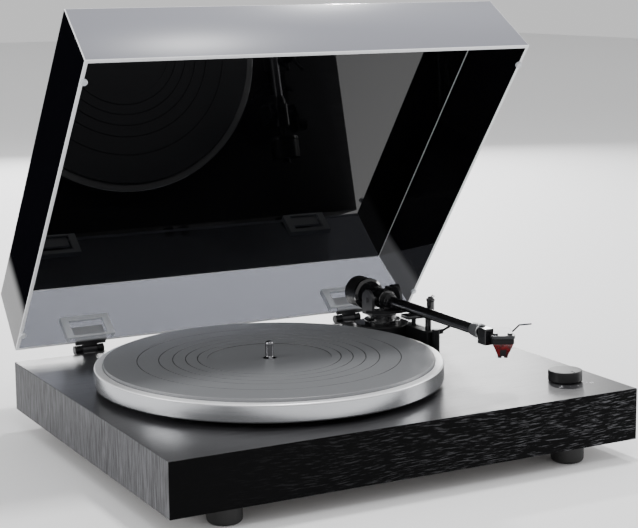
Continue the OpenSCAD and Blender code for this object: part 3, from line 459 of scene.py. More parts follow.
# ---- shader maths ----
class Expr:
    """A node socket that takes part in Python arithmetic."""

    def __init__(self, graph: "Graph", socket: bpy.types.NodeSocket) -> None:
        """Wraps a socket.

        Args:
            graph: The material's graph.
            socket: An output socket in it.
        """
        self.graph = graph
        self.socket = socket

    def _do(self, operation: str, *values: Union["Expr", float]) -> "Expr":
        """Adds a Math node.

        Args:
            operation: Name of the operation.
            values: Its inputs.

        Returns:
            Its result.
        """
        node = self.graph.add("ShaderNodeMath", {"operation": operation}, dict(enumerate(values)))
        return Expr(self.graph, node.outputs[0])

    def __add__(self, other: Union["Expr", float]) -> "Expr":
        """Sum."""
        return self._do("ADD", self, other)

    def __radd__(self, other: float) -> "Expr":
        """Reflected sum."""
        return self._do("ADD", other, self)

    def __sub__(self, other: Union["Expr", float]) -> "Expr":
        """Difference."""
        return self._do("SUBTRACT", self, other)

    def __rsub__(self, other: float) -> "Expr":
        """Reflected difference."""
        return self._do("SUBTRACT", other, self)

    def __mul__(self, other: Union["Expr", float]) -> "Expr":
        """Product."""
        return self._do("MULTIPLY", self, other)

    def __rmul__(self, other: float) -> "Expr":
        """Reflected product."""
        return self._do("MULTIPLY", other, self)

    def __truediv__(self, other: Union["Expr", float]) -> "Expr":
        """Quotient."""
        return self._do("DIVIDE", self, other)

    def sin(self) -> "Expr":
        """Sine of this value in radians."""
        return self._do("SINE", self)

    def angle(self, along: "Expr") -> "Expr":
        """Angle of the point with this value across and another along, in radians."""
        return self._do("ARCTAN2", self, along)

    def root(self) -> "Expr":
        """Square root."""
        return self._do("SQRT", self)

    def ramp(self, low: float, high: float) -> "Expr":
        """Smooth step from 0 at low to 1 at high.

        Args:
            low: Value that gives 0.
            high: Value that gives 1.

        Returns:
            The step, held between 0 and 1.
        """
        settings = {"interpolation_type": "SMOOTHSTEP"}
        node = self.graph.add("ShaderNodeMapRange", settings, {0: self, 1: low, 2: high})
        return Expr(self.graph, node.outputs[0])


class Graph:
    """Builds one material's node tree."""

    def __init__(self, name: str) -> None:
        """Makes a new material.

        Args:
            name: The material's name.
        """
        self.material = bpy.data.materials.new(name)
        self.material.use_nodes = True
        self.tree = self.material.node_tree
        self.tree.nodes.clear()
        self.out = self.add("ShaderNodeOutputMaterial")
        self.shader = self.add("ShaderNodeBsdfPrincipled")
        self.tree.links.new(self.shader.outputs[0], self.out.inputs[0])

    def plug(self, value: object, socket: bpy.types.NodeSocket) -> None:
        """Feeds a socket from an expression or a constant.

        Args:
            value: An Expr or a constant.
            socket: The input socket.
        """
        if isinstance(value, Expr):
            self.tree.links.new(value.socket, socket)
        else:
            socket.default_value = value

    def add(self, kind: str, settings: Optional[dict] = None,
            inputs: Optional[dict] = None) -> bpy.types.Node:
        """Makes any node.

        Args:
            kind: The node's type.
            settings: Its properties.
            inputs: Values for its inputs, by name or index.

        Returns:
            The node.
        """
        node = self.tree.nodes.new(kind)
        for key, value in (settings or {}).items():
            setattr(node, key, value)
        for key, value in (inputs or {}).items():
            self.plug(value, node.inputs[key])
        return node

    def place(self) -> tuple[Expr, Expr, Expr]:
        """Gives the point being shaded in the piece's own frame.

        Returns:
            Its x, y and z, in metres.
        """
        coord = self.add("ShaderNodeTexCoord")
        split = self.add("ShaderNodeSeparateXYZ", inputs={0: Expr(self, coord.outputs["Object"])})
        x, y, z = (Expr(self, socket) for socket in split.outputs)
        return x, y, z

    def vector(self, x: object, y: object, z: object) -> Expr:
        """Joins three values.

        Args:
            x: First value.
            y: Second value.
            z: Third value.

        Returns:
            The vector.
        """
        return Expr(self, self.add("ShaderNodeCombineXYZ", inputs={0: x, 1: y, 2: z}).outputs[0])

    def noise(self, vector: Expr, scale: float = 1.0, detail: float = 2.0, rough: float = 0.5) -> Expr:
        """Adds fractal noise.

        Args:
            vector: Where to read it.
            scale: Its frequency.
            detail: Number of octaves.
            rough: Strength of the finer octaves.

        Returns:
            Its value, about 0 to 1.
        """
        inputs = {"Vector": vector, "Scale": scale, "Detail": detail, "Roughness": rough}
        return Expr(self, self.add("ShaderNodeTexNoise", inputs=inputs).outputs[0])

    def mix(self, first: Colour, second: Colour, factor: Expr) -> Expr:
        """Mixes two colours.

        Args:
            first: Colour where the factor is 0.
            second: Colour where it is 1.
            factor: The mixing factor.

        Returns:
            The mixed colour.
        """
        node = self.add("ShaderNodeMix", {"data_type": "RGBA"})
        self.plug(factor, node.inputs[0])
        self.plug((*first, 1.0), node.inputs[6])
        self.plug((*second, 1.0), node.inputs[7])
        return Expr(self, node.outputs[2])

    def bump(self, height: Expr, depth: float, strength: float = 1.0) -> None:
        """Roughens the surface.

        Args:
            height: Height pattern, about 0 to 1.
            depth: Height in metres that 1 stands for.
            strength: Strength of the effect.
        """
        node = self.add("ShaderNodeBump", inputs={"Height": height, "Distance": depth, "Strength": strength})
        self.plug(Expr(self, node.outputs[0]), self.shader.inputs["Normal"])

    def surface(self, **inputs: object) -> None:
        """Sets inputs of the main shader.

        Args:
            inputs: Values by input name, with underscores for spaces.
        """
        for key, value in inputs.items():
            self.plug(value, self.shader.inputs[key.replace("_", " ")])


# ---- finishes ----
class Finish:
    """A surface finish that can be made into a material once."""

    name: str
    made: dict[str, bpy.types.Material] = {}

    def dress(self, graph: Graph) -> None:
        """Builds the finish's nodes.

        Args:
            graph: The material's graph.
        """
        raise NotImplementedError

    def material(self) -> bpy.types.Material:
        """Gives the finish's material.

        Returns:
            The material, made on first use.
        """
        if self.name not in Finish.made:
            graph = Graph(self.name)
            self.dress(graph)
            Finish.made[self.name] = graph.material
        return Finish.made[self.name]


class Along(Enum):
    """Row axis that a grain runs along, and the two axes across it."""

    X = (0, 2, 1)
    Y = (1, 0, 2)
    Z = (2, 1, 0)
    TOP = (0, 1, 2)


@dataclass(frozen=True)
class WoodGrain(Finish):
    """Open-pored black wood grain: fine broken streaks that follow wide arches."""

    name: str
    along: Along
    dark: Colour = (0.0015, 0.0015, 0.0018)
    light: Colour = (0.09, 0.09, 0.1)
    pitch: float = 0.0023
    length: float = 0.028
    arch: float = 9.0
    low: float = 0.52
    high: float = 0.66
    roughness: float = 0.5
    shine: float = 0.25
    depth: float = 0.0001
    # This field and the next set how strongly the streaks show along the grain; a slope is painted light,
    # brighter towards one end.
    painted_light_ramp: float = 0.0
    base: float = 1.0

    def dress(self, graph: Graph) -> None:
        """Builds the grain.

        Args:
            graph: The material's graph.
        """
        axes = graph.place()
        run, across, deep = (axes[i] for i in self.along.value)
        drift = graph.noise(graph.vector(run * 4.5, across * 11, deep * 4), 1, 2, 0.5)
        warped = across / self.pitch + drift * self.arch + run * 6
        streaks = graph.noise(graph.vector(run / self.length, warped, deep * 20), 1, 3, 0.6)
        fine = graph.noise(graph.vector(run * 90, across * 1500, deep * 90), 1, 2, 0.6)
        # Painted light: the streaks grow stronger along the grain where a slope is set.
        strength = (run * self.painted_light_ramp + self.base).ramp(-0.15, 1.0)
        streak = (streaks * 0.85 + fine * 0.15).ramp(self.low, self.high)
        graph.surface(Base_Color=graph.mix(self.dark, self.light, streak * strength),
                      Roughness=streak * 0.1 + self.roughness, Specular_IOR_Level=self.shine)
        graph.bump(streak * 0.6 + fine * 0.4, self.depth)


@dataclass(frozen=True)
class Satin(Finish):
    """Plain paint, plastic, rubber or metal with a slight texture."""

    name: str
    colour: Colour
    roughness: float = 0.4
    metallic: float = 0.0
    grain: float = 900.0
    depth: float = 0.00002
    vary: float = 0.08
    coat: float = 0.0
    shine: float = 0.4

    def dress(self, graph: Graph) -> None:
        """Builds the texture.

        Args:
            graph: The material's graph.
        """
        x, y, z = graph.place()
        speck = graph.noise(graph.vector(x, y, z), self.grain, 3, 0.6)
        cloud = graph.noise(graph.vector(x, y, z), 45, 2, 0.5)
        paler = tuple(min(1.0, c * 1.18 + 0.002) for c in self.colour)
        graph.surface(Base_Color=graph.mix(self.colour, paler, speck), Metallic=self.metallic,
                      Roughness=cloud * self.vary + (self.roughness - self.vary / 2), Coat_Weight=self.coat,
                      Specular_IOR_Level=self.shine, Coat_Roughness=0.05)
        graph.bump(speck, self.depth)


@dataclass(frozen=True)
class Turned(Finish):
    """Surface with fine rings about an upright or level axis."""

    name: str
    colour: Colour
    centre: tuple[float, float]
    plane: tuple[int, int] = (0, 1)
    pitch: float = 0.0004
    roughness: float = 0.25
    metallic: float = 1.0
    depth: float = 0.000012
    shade: float = 0.85

    def dress(self, graph: Graph) -> None:
        """Builds the rings.

        Args:
            graph: The material's graph.
        """
        axes = graph.place()
        first = axes[self.plane[0]] - self.centre[0]
        second = axes[self.plane[1]] - self.centre[1]
        radius = (first * first + second * second).root()
        other = axes[3 - self.plane[0] - self.plane[1]]
        rings = graph.noise(graph.vector(radius / self.pitch, other / self.pitch, 0.0), 1, 3, 0.7)
        darker = tuple(c * self.shade for c in self.colour)
        graph.surface(Base_Color=graph.mix(darker, self.colour, rings), Metallic=self.metallic,
                      Roughness=rings * 0.1 + (self.roughness - 0.05))
        graph.bump(rings, self.depth)


@dataclass(frozen=True)
class RingedRubber(Finish):
    """Satin rubber with fine even rings about an upright axis."""

    name: str
    colour: Colour
    centre: tuple[float, float]
    pitch: float = 0.0011
    roughness: float = 0.42
    depth: float = 0.00008

    def dress(self, graph: Graph) -> None:
        """Builds the rings.

        Args:
            graph: The material's graph.
        """
        x, y, z = graph.place()
        first, second = x - self.centre[0], y - self.centre[1]
        radius = (first * first + second * second).root()
        ring = (radius * (2 * math.pi / self.pitch)).sin() * 0.5 + 0.5
        dust = graph.noise(graph.vector(x, y, z), 320, 4, 0.6)
        paler = tuple(c * 1.2 for c in self.colour)
        graph.surface(Base_Color=graph.mix(self.colour, paler, ring * 0.5 + dust * 0.5),
                      Roughness=dust * 0.1 + (self.roughness - 0.05), Specular_IOR_Level=1.0)
        graph.bump(ring * 0.8 + dust * 0.2, self.depth)


@dataclass(frozen=True)
class Knurled(Finish):
    """Metal or plastic with fine flutes round a level axis along Y, with painted shade in the flute valleys.
    """

    name: str
    colour: Colour
    centre: tuple[float, float]
    flutes: int = 44
    roughness: float = 0.3
    metallic: float = 1.0
    depth: float = 0.0004

    def dress(self, graph: Graph) -> None:
        """Builds the flutes.

        Args:
            graph: The material's graph.
        """
        x, y, z = graph.place()
        turn = (z - self.centre[1]).angle(x - self.centre[0])
        flute = (turn * self.flutes).sin() * 0.5 + 0.5
        speck = graph.noise(graph.vector(x, y, z), 1500, 2, 0.5)
        # Painted shade: the colour darkens into the flute valleys, following the bump's profile.
        darker = tuple(c * 0.35 for c in self.colour)
        graph.surface(Base_Color=graph.mix(darker, self.colour, flute), Metallic=self.metallic,
                      Roughness=speck * 0.1 + self.roughness)
        graph.bump(flute, self.depth)


@dataclass(frozen=True)
class Acrylic(Finish):
    """Polished acrylic sheet: a coloured body that lets part of the light straight through. On the lid its
    colour is set wall by wall as painted reflection and shade, and the optional strip is a painted sheen near
    the hinge.
    """

    name: str
    colour: Colour
    body: float
    tint: Colour = (0.9, 0.92, 0.95)
    roughness: float = 0.015
    painted_sheen: float = 0.0
    shine: float = 0.5
    painted_sheen_strip: Optional[tuple[float, float, float, float]] = None

    def dress(self, graph: Graph) -> None:
        """Builds the sheet.

        Args:
            graph: The material's graph.
        """
        x, y, z = graph.place()
        cloud = graph.noise(graph.vector(x * 6, y * 6, z * 6), 1, 3, 0.5)
        paler = tuple(min(1.0, c + self.painted_sheen) for c in self.colour)
        # Painted sheen: where a strip is given, the colour turns paler towards the wall's hinge edge.
        sheen_mask = cloud
        if self.painted_sheen_strip:
            hinge_y, hinge_z, angle, reach = self.painted_sheen_strip
            up = (y - hinge_y) * -math.cos(angle) + (z - hinge_z) * math.sin(angle)
            sheen_mask = (up * (-1 / reach) + 1.0).ramp(0.0, 0.3)
        graph.surface(Base_Color=graph.mix(self.colour, paler, sheen_mask), IOR=1.49,
                      Roughness=cloud * 0.01 + self.roughness, Specular_IOR_Level=self.shine)
        clear = graph.add("ShaderNodeBsdfTransparent", inputs={0: (*self.tint, 1.0)})
        blend = graph.add("ShaderNodeMixShader", inputs={0: self.body})
        graph.tree.links.new(clear.outputs[0], blend.inputs[1])
        graph.tree.links.new(graph.shader.outputs[0], blend.inputs[2])
        graph.tree.links.new(blend.outputs[0], graph.out.inputs[0])


@dataclass(frozen=True)
class Plated(Finish):
    """Sheet metal that is light above a height and blackened below it."""

    name: str
    height: float
    low: Colour = (0.03, 0.03, 0.033)
    high: Colour = (0.5, 0.51, 0.54)

    def dress(self, graph: Graph) -> None:
        """Builds the two shades.

        Args:
            graph: The material's graph.
        """
        x, y, z = graph.place()
        speck = graph.noise(graph.vector(x, y, z), 900, 3, 0.6)
        step = (z - self.height).ramp(-0.001, 0.001)
        graph.surface(Base_Color=graph.mix(self.low, self.high, step), Metallic=0.3,
                      Roughness=speck * 0.1 + 0.4)
        graph.bump(speck, 0.00002)


@dataclass(frozen=True)
class Gel(Finish):
    """Dyed see-through plastic with a shiny skin."""

    name: str
    colour: Colour
    glow: float = 0.35

    def dress(self, graph: Graph) -> None:
        """Builds the plastic.

        Args:
            graph: The material's graph.
        """
        x, y, z = graph.place()
        cloud = graph.noise(graph.vector(x, y, z), 260, 2, 0.5)
        deep = tuple(c * 0.4 for c in self.colour)
        graph.surface(Base_Color=graph.mix(deep, self.colour, cloud.ramp(0.35, 0.65)), Roughness=0.12,
                      Transmission_Weight=self.glow, IOR=1.5, Coat_Weight=0.6, Coat_Roughness=0.03)


BLACK = Satin("black_plastic", (0.005, 0.005, 0.006), 0.4, shine=0.22)
GLOSS = Satin("gloss_black", (0.006, 0.006, 0.007), 0.14, grain=1400, depth=0.000004, vary=0.04, coat=0.6)
TUBE = Satin("tube_black", (0.2, 0.2, 0.21), 0.24, metallic=1.0, grain=1400, depth=0.000004, vary=0.04)
DARK_METAL = Satin("dark_grey_metal", (0.035, 0.035, 0.038), 0.34, metallic=0.5)
STEEL = Satin("polished_steel", (0.2, 0.2, 0.21), 0.14, metallic=1.0, grain=1600, depth=0.000004)
SILVER = Satin("silver_metal", (0.5, 0.51, 0.53), 0.3, metallic=1.0)
RUBBER = Satin("foot_rubber", (0.014, 0.014, 0.014), 0.6, depth=0.00005)
# Near-white, mostly opaque edge sheet: a painted highlight along the lid's polished edges.
EDGE_HIGHLIGHT = Acrylic("acrylic_edge_painted_highlight", (0.95, 0.96, 0.98), 0.92, roughness=0.1)
CLEAR = Acrylic("clear_soft", (0.9, 0.92, 0.95), 0.62, roughness=0.06)
INK = Satin("white_ink", (0.6, 0.6, 0.62), 0.5)

NODE_FINISHES: dict[str, Finish] = {
    "fibreboard": Satin("fibreboard", (0.05, 0.035, 0.025), 0.75, grain=1200, depth=0.0002),
    "black_plastic": BLACK,
    "gloss_black": GLOSS,
    "arm_black": GLOSS,
    "dark_grey_metal": DARK_METAL,
    "belt_rubber": Satin("belt_rubber", (0.012, 0.012, 0.012), 0.55),
    "foot_rubber": RUBBER,
    "grommet_rubber": Satin("grommet_rubber", (0.02, 0.02, 0.02), 0.65),
    "polished_steel": STEEL,
    "zinc_steel": Satin("zinc_steel", (0.2, 0.2, 0.21), 0.4, metallic=0.8),
    "bearing_brass": Satin("bearing_brass", (0.55, 0.4, 0.16), 0.25, metallic=1.0),
    "motor_steel": Satin("motor_steel", (0.28, 0.29, 0.3), 0.35, metallic=1.0),
    "board_green": Satin("board_green", (0.02, 0.11, 0.05), 0.3),
    "spacer_nylon": Satin("spacer_nylon", (0.6, 0.58, 0.5), 0.45),
    "silver_metal": SILVER,
    "clear_soft": CLEAR,
}


# ---- pieces ----
class Assembly:
    """Base of every sub-assembly: puts its pieces in place and reports them."""

    def put(self, made: bpy.types.Object, body: str, slot: str, finishes: Sequence[Finish],
            nodes: Iterable[str]) -> bpy.types.Object:
        """Gives a piece its finishes, its body and the nodes it stands for.

        Args:
            made: The piece.
            body: Body that it rides on.
            slot: The record's material slot; not used.
            finishes: Finishes in the order of its material indices.
            nodes: CAD nodes that it stands for.

        Returns:
            The piece.
        """
        for finish in finishes:
            made.data.materials.append(finish.material())
        if made.type == "MESH":
            made.data.set_sharp_from_angle(angle=math.radians(SHARP_DEGREES))
            weighted = made.modifiers.new("weighted", "WEIGHTED_NORMAL")
            weighted.keep_sharp = True
        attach(made, body)
        for node in nodes:
            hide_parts(node)
        LOG.info("%s: rides on %s, %d faces", made.name, body, len(getattr(made.data, "polygons", ())))
        return made

    def build(self) -> None:
        """Makes the sub-assembly's pieces."""
        raise NotImplementedError


@dataclass
class Plinth(Assembly):
    """Wrapped box with its feet and the marks beside the knob."""

    edge: float = 0.7 * MM
    wall: float = 15 * MM
    top: float = 12 * MM
    rebate: float = 8 * MM
    cover: float = 5 * MM
    mark: float = 0.9 * MM
    holes: tuple[tuple[str, float], ...] = (("bearing_housing", 9.1 * MM), ("motor_pulley", 10.1 * MM),
                                            ("arm_pillar", 6 * MM), ("speed_knob", 4.7 * MM))
    panel_gap: float = 0.1 * MM
    panel_lip: float = 4 * MM
    foot_bore: float = 2 * MM
    foot_recess: float = 4.4 * MM
    foot_recess_height: float = 6 * MM

    def build(self) -> None:
        """Makes the box, the feet and the marks."""
        self.box()
        for side in ("front_left", "front_right", "rear_left", "rear_right"):
            self.foot(side)
        self.marks()

    def box(self) -> None:
        """Makes the wrapped box, with a finish for each direction of the grain; the faces also differ in tone
        as painted light and shade.
        """
        box = Box.of("plinth")
        lo, hi = box.lo, box.hi
        made = Shell().slab(lo, hi, self.edge).object("plinth_box")
        tool = Shell()
        inner = Vector((self.wall, self.wall, 0))
        tool.slab(lo + inner - Vector((0, 0, self.top)), hi - inner - Vector((0, 0, self.top)), 0)
        step = Vector((self.wall - self.rebate, self.wall - self.rebate, 0))
        tool.slab(lo + step - Vector((0, 0, self.top)), Vector((hi.x, hi.y, lo.z + self.cover)) - step, 0)
        carve(made, tool)
        tool = Shell()
        for node, radius in self.holes:
            tool.rod(radius, -1.5 * self.top, self.top, upright(Box.of(node), hi.z), edge=0, steps=48)
        panel = Box.of("socket_panel")
        gap = Vector((self.panel_gap, 0, self.panel_gap))
        tool.slab(panel.lo - gap - Vector((0, self.panel_gap, 0)), panel.hi + gap + Vector((0, 2 * MM, 0)), 0)
        lip = Vector((self.panel_lip, 0, self.panel_lip))
        tool.slab(panel.lo + lip - Vector((0, self.wall + 1 * MM, 0)), panel.hi - lip, 0)
        carve(made, tool)
        for face in made.data.polygons:
            n = face.normal
            face.use_smooth = True
            face.material_index = 0 if abs(n.y) > 0.6 else 1 if abs(n.x) > 0.6 else 2
        # Painted light and shade: the front is darkest, with its streaks painted brighter towards the right,
        # while the side and top are lighter copies of the same black grain.
        grains = [
            WoodGrain("grain_front", Along.X, light=(0.11, 0.11, 0.118), pitch=0.0009, length=0.012,
                      painted_light_ramp=2.1, base=0.3, arch=26, low=0.53, high=0.64, shine=0.05),
            WoodGrain("grain_side", Along.Z, dark=(0.02, 0.02, 0.022), light=(0.14, 0.14, 0.15),
                      pitch=0.0009, length=0.022, arch=3, low=0.36, high=0.66),
            WoodGrain("grain_top", Along.TOP, dark=(0.02, 0.02, 0.022), light=(0.045, 0.045, 0.048),
                      pitch=0.0014, length=0.04, arch=3, low=0.4, high=0.75, roughness=0.3, shine=0.5,
                      depth=0.00003),
        ]
        self.put(made, "base", "black_woodgrain", grains, ["plinth"])

    def foot(self, side: str) -> None:
        """Makes one round foot.

        Args:
            side: Which one, as in its node's name.
        """
        box = Box.of("foot_" + side)
        r, h = box.size.x / 2, box.size.z
        bore, recess, step = self.foot_bore, self.foot_recess, self.foot_recess_height
        ring = [(recess, 0), (r, 0), (r, h), (bore, h), (bore, step), (recess, step)]
        rounding = [0.3 * MM, 10 * MM, 0.4 * MM, 0, 0, 0]
        shell = Shell().lathe(soften(ring, rounding, closed=True, steps=8), upright(box, box.lo.z), True)
        self.put(shell.object("round_foot_" + side), "base", "foot_rubber", [RUBBER], ["foot_" + side])

    def marks(self) -> None:
        """Prints the plain speed marks round the knob: an arc of dots and two double strokes."""
        knob, top = Box.of("speed_knob"), Box.of("plinth").hi.z
        ring = knob.size.x / 2 + 4.2 * MM
        shell = Shell()
        for k, (x, y) in enumerate(arc(ring, -135, -45, 4, knob.mid.xy)):
            size = self.mark * (0.55 if k % 2 else 1)
            shell.rod(size * 0.6, 0.01 * MM, 0.05 * MM, at(Vector((x, y, top))), edge=0, steps=20)
        for x, y in arc(ring + 4 * MM, -135, -45, 1, knob.mid.xy):
            spot = Vector((x, y, top))
            for k in (-1, 1):
                lo = spot + Vector((k * 1.1 * MM - 0.35 * MM, -1.3 * MM, 0.01 * MM))
                shell.slab(lo, lo + Vector((0.7 * MM, 2.6 * MM, 0.04 * MM)), 0)
        self.put(shell.object("speed_marks"), "base", "black_plastic", [INK], [])


@dataclass
class PlatterSet(Assembly):
    """Platter, mat and record spindle."""

    bore: float = 3.62 * MM
    rim: float = 6.6 * MM
    room: float = 0.6 * MM
    web: float = 4 * MM
    recess: float = 1.5 * MM
    groove: float = 0.6 * MM
    groove_width: float = 0.8 * MM
    grooves: tuple[float, ...] = (62.8, 73.2, 84.4, 96.4, 115.2)
    label: float = 54.4 * MM
    mat_hole: float = 6.5 * MM

    def build(self) -> None:
        """Makes the three pieces."""
        box = Box.of("platter")
        centre = (box.mid.x, box.mid.y)
        r, low, high = box.size.x / 2, box.lo.z, box.hi.z
        mat = Box.of("platter_mat")
        bed = high - self.recess
        lip = mat.size.x / 2 + self.room
        ring = [(self.bore, bed - self.web), (r - self.rim, bed - self.web), (r - self.rim, low), (r, low),
                (r, high), (lip, high), (lip, bed), (self.bore, bed)]
        rounding = [0, 0, 0.4 * MM, 1.6 * MM, 1.8 * MM, 0.5 * MM, 0, 0]
        shell = Shell().lathe(soften(ring, rounding, closed=True, steps=5), upright(box), True, 256)
        made = shell.object("platter_disc")
        # Faces that look upwards get a near-white copy of the metal: a painted highlight on the rim top and
        # its bevel.
        for face in made.data.polygons:
            face.material_index = 1 if face.normal.z > 0.35 else 0
        side = Turned("platter_metal", (0.56, 0.57, 0.59), centre, pitch=0.0009, roughness=0.24,
                      depth=0.000006)
        rim = Turned("platter_rim_painted_highlight", (0.93, 0.935, 0.95), centre, pitch=0.0009, roughness=0.35,
                     metallic=0.45, depth=0.000004, shade=0.95)
        self.put(made, "platter_assembly", "platter_metal", [side, rim], ["platter"])
        self.mat(mat, centre)
        self.spindle(mat)

    def mat(self, box: Box, centre: Pair) -> None:
        """Makes the mat with its label recess and ring grooves, the grooves painted near black as shade.

        Args:
            box: Box of the mat's node.
            centre: The platter's axis.
        """
        top, low = box.hi.z, box.lo.z
        floor = top - self.groove
        ring: list[Pair] = [(self.mat_hole, low), (box.size.x / 2, low), (box.size.x / 2, top)]
        half = self.groove_width / 2
        for radius in reversed(self.grooves):
            r = radius * MM
            ring += [(r + half, top), (r + half, floor), (r - half, floor), (r - half, top)]
        ring += [(self.label, top), (self.label, floor), (self.mat_hole, floor)]
        rounding = [0.2 * MM, 0.3 * MM, 0.8 * MM] + [0.12 * MM] * (len(ring) - 3)
        place = at(Vector((*centre, 0)))
        shell = Shell().lathe(soften(ring, rounding, closed=True, steps=3), place, True, 192)
        made = shell.object("ringed_mat")
        # Painted shade: the groove floors and walls get a near-black copy of the rubber.
        for face in made.data.polygons:
            c = face.center
            reach = math.hypot(c.x - centre[0], c.y - centre[1])
            sunk = floor - 0.05 * MM < c.z < top - 0.2 * MM
            ringed = self.label - 0.2 * MM < reach < 0.9 * box.size.x / 2
            face.material_index = 1 if sunk and ringed else 0
        rubber = RingedRubber("mat_rubber", (0.15, 0.154, 0.162), centre, roughness=0.38, depth=0.00004)
        dark = RingedRubber("groove_painted_shade", (0.006, 0.006, 0.007), centre, roughness=0.6)
        self.put(made, "platter_assembly", "mat_rubber", [rubber, dark], ["platter_mat"])

    def spindle(self, mat: Box) -> None:
        """Makes the spindle with its flared collar and rounded tip.

        Args:
            mat: Box of the mat's node.
        """
        box, disc = Box.of("spindle"), Box.of("platter")
        top, web = box.hi.z, disc.hi.z - self.recess - self.web
        flare = mat.hi.z - self.groove - 0.4 * MM
        r, shank = 3.6 * MM, 5 * MM
        line = [(0, box.lo.z), (shank, box.lo.z), (shank, web), (r, web), (r, flare), (5.7 * MM, flare),
                (r, flare + 1.8 * MM), (r, top - 2.2 * MM), (2.9 * MM, top - 0.6 * MM), (0, top)]
        rounding = [0, 0.4 * MM, 0, 0, 0, 0.2 * MM, 0.5 * MM, 0.8 * MM, 1.2 * MM, 0]
        made = Shell().lathe(soften(line, rounding, steps=5), upright(box)).object("record_spindle")
        self.put(made, "platter_assembly", "polished_steel", [STEEL], ["spindle"])


@dataclass
class ArmTower(Assembly):
    """Arm base, lift housing, rest, cue lever and the turning yoke."""

    yoke_half: float = 17 * MM
    yoke_round: float = 10 * MM
    yoke_plate: float = 3 * MM
    yoke_floor: float = 2.4 * MM
    yoke_neck: float = 13.5 * MM
    lever_wire: float = 1.1 * MM
    lever_ball: float = 2 * MM

    def build(self) -> None:
        """Makes the fixed tower and its moving pieces."""
        self.base()
        self.housing()
        self.rest()
        self.lever()
        self.bridge()
        self.yoke()
        self.skate()

    def base(self) -> None:
        """Makes the drum and the stepped pillar above it."""
        drum, pillar = Box.of("arm_base"), Box.of("arm_pillar")
        place = upright(drum, drum.lo.z)
        r, h = drum.size.x / 2, drum.size.z
        ring = [(5.5 * MM, 0), (r, 0), (r, h), (5.5 * MM, h)]
        rounding = [0, 0.3 * MM, 1.6 * MM, 0]
        shell = Shell().lathe(soften(ring, rounding, closed=True, steps=5), place, True, 128)
        self.put(shell.object("arm_drum"), "base", "black_plastic", [BLACK], ["arm_base"])
        low, top = pillar.lo.z - drum.lo.z, pillar.hi.z - drum.lo.z
        bore, stem, plate, step = 4.04 * MM, 5.4 * MM, 17.5 * MM, 13.5 * MM
        line = [(bore, low + 2 * MM), (bore, low), (stem, low), (stem, h), (plate, h), (plate, h + 4 * MM),
                (step, h + 4 * MM), (step, top), (bore, top)]
        rounding = [0, 0, 0.2 * MM, 0, 0.2 * MM, 0.9 * MM, 0.2 * MM, 0.5 * MM, 0.1 * MM]
        shell = Shell().lathe(soften(line, rounding, closed=True, steps=4), place, True, 128)
        self.put(shell.object("arm_steps"), "base", "black_plastic", [GLOSS], ["arm_pillar"])

    def housing(self) -> None:
        """Makes the lift housing that stands against the drum."""
        box, drum = Box.of("lift_housing"), Box.of("arm_base")
        pin = Box.of("lift_bridge")
        made = Shell().slab(box.lo, box.hi, 0.9 * MM).object("lift_block")
        tool = Shell().rod(drum.size.x / 2 + 0.1 * MM, -1 * MM, drum.size.z + 1 * MM,
                           upright(drum, drum.lo.z), edge=0, steps=128)
        carve(made, tool)
        place = at(Vector((*self.pin(pin), box.lo.z)))
        carve(made, Shell().rod(2.24 * MM, 1 * MM, box.size.z + 1 * MM, place, edge=0, steps=48))
        self.put(made, "base", "black_plastic", [BLACK], ["lift_housing"])
        post = Box.of("lever_post")
        shell = Shell().rod(post.size.x / 2, 0, post.size.z, upright(post, post.lo.z), edge=0.7 * MM)
        self.put(shell.object("lever_stand"), "base", "black_plastic", [BLACK], ["lever_post"])

    def pin(self, box: Box) -> Pair:
        """Finds the lift pin's axis from the lowest points of the bridge.

        Args:
            box: Box of the bridge's node.

        Returns:
            The axis' x and y.
        """
        low = [v.co for v in frame["nodes"]["lift_bridge"].data.vertices if v.co.z < box.lo.z + 0.1 * MM]
        xs, ys = [v.x for v in low], [v.y for v in low]
        return (min(xs) + max(xs)) / 2, (min(ys) + max(ys)) / 2

    def rest(self) -> None:
        """Makes the arm rest with its post and pin, and the clip on the pin."""
        box, clip = Box.of("arm_rest"), Box.of("arm_clip")
        axis = joint_point("clip_turn")
        plate_top = box.hi.z - 15.6 * MM
        housing = Box.of("lift_housing")
        lo = Vector((box.lo.x, housing.lo.y + 1 * MM, plate_top - 3.6 * MM))
        shell = Shell().slab(lo, Vector((box.hi.x - 0.6 * MM, lo.y + 14 * MM, plate_top)), 0.7 * MM)
        post = at(Vector((housing.mid.x, housing.lo.y + 8 * MM, 0)))
        shell.rod(3 * MM, box.lo.z, plate_top - 1 * MM, post, edge=0)
        spot = at(Vector((axis.x, axis.y, 0)))
        shell.rod(3.6 * MM, plate_top - 0.5 * MM, clip.lo.z - 0.3 * MM, spot)
        top, r = box.hi.z, 2.6 * MM
        line = [(0, plate_top), (r, plate_top), (r, top - 3 * MM), (2.8 * MM, top - 2.6 * MM), (r, top),
                (0, top)]
        shell.lathe(soften(line, [0, 0, 0, 0.2 * MM, 2.2 * MM, 0], steps=6), spot)
        self.put(shell.object("arm_cradle"), "base", "black_plastic", [GLOSS], ["arm_rest"])
        turn = at(Vector((axis.x, axis.y, clip.lo.z))) @ Matrix.Rotation(math.radians(-40), 4, "Z")
        h = clip.size.z
        shell = Shell().rod(4.2 * MM, 0, h, turn, bore=2.64 * MM, edge=0.5 * MM)
        shell.slab((-1.5 * MM, 3 * MM, 0), (1.5 * MM, 17.5 * MM, h), 0.4 * MM, turn)
        shell.rod(1.5 * MM, 0, h, turn @ Matrix.Translation((0, 17 * MM, 0)), edge=0.3 * MM, steps=32)
        self.put(shell.object("hooked_clip"), "clip", "black_plastic", [GLOSS], ["arm_clip"])

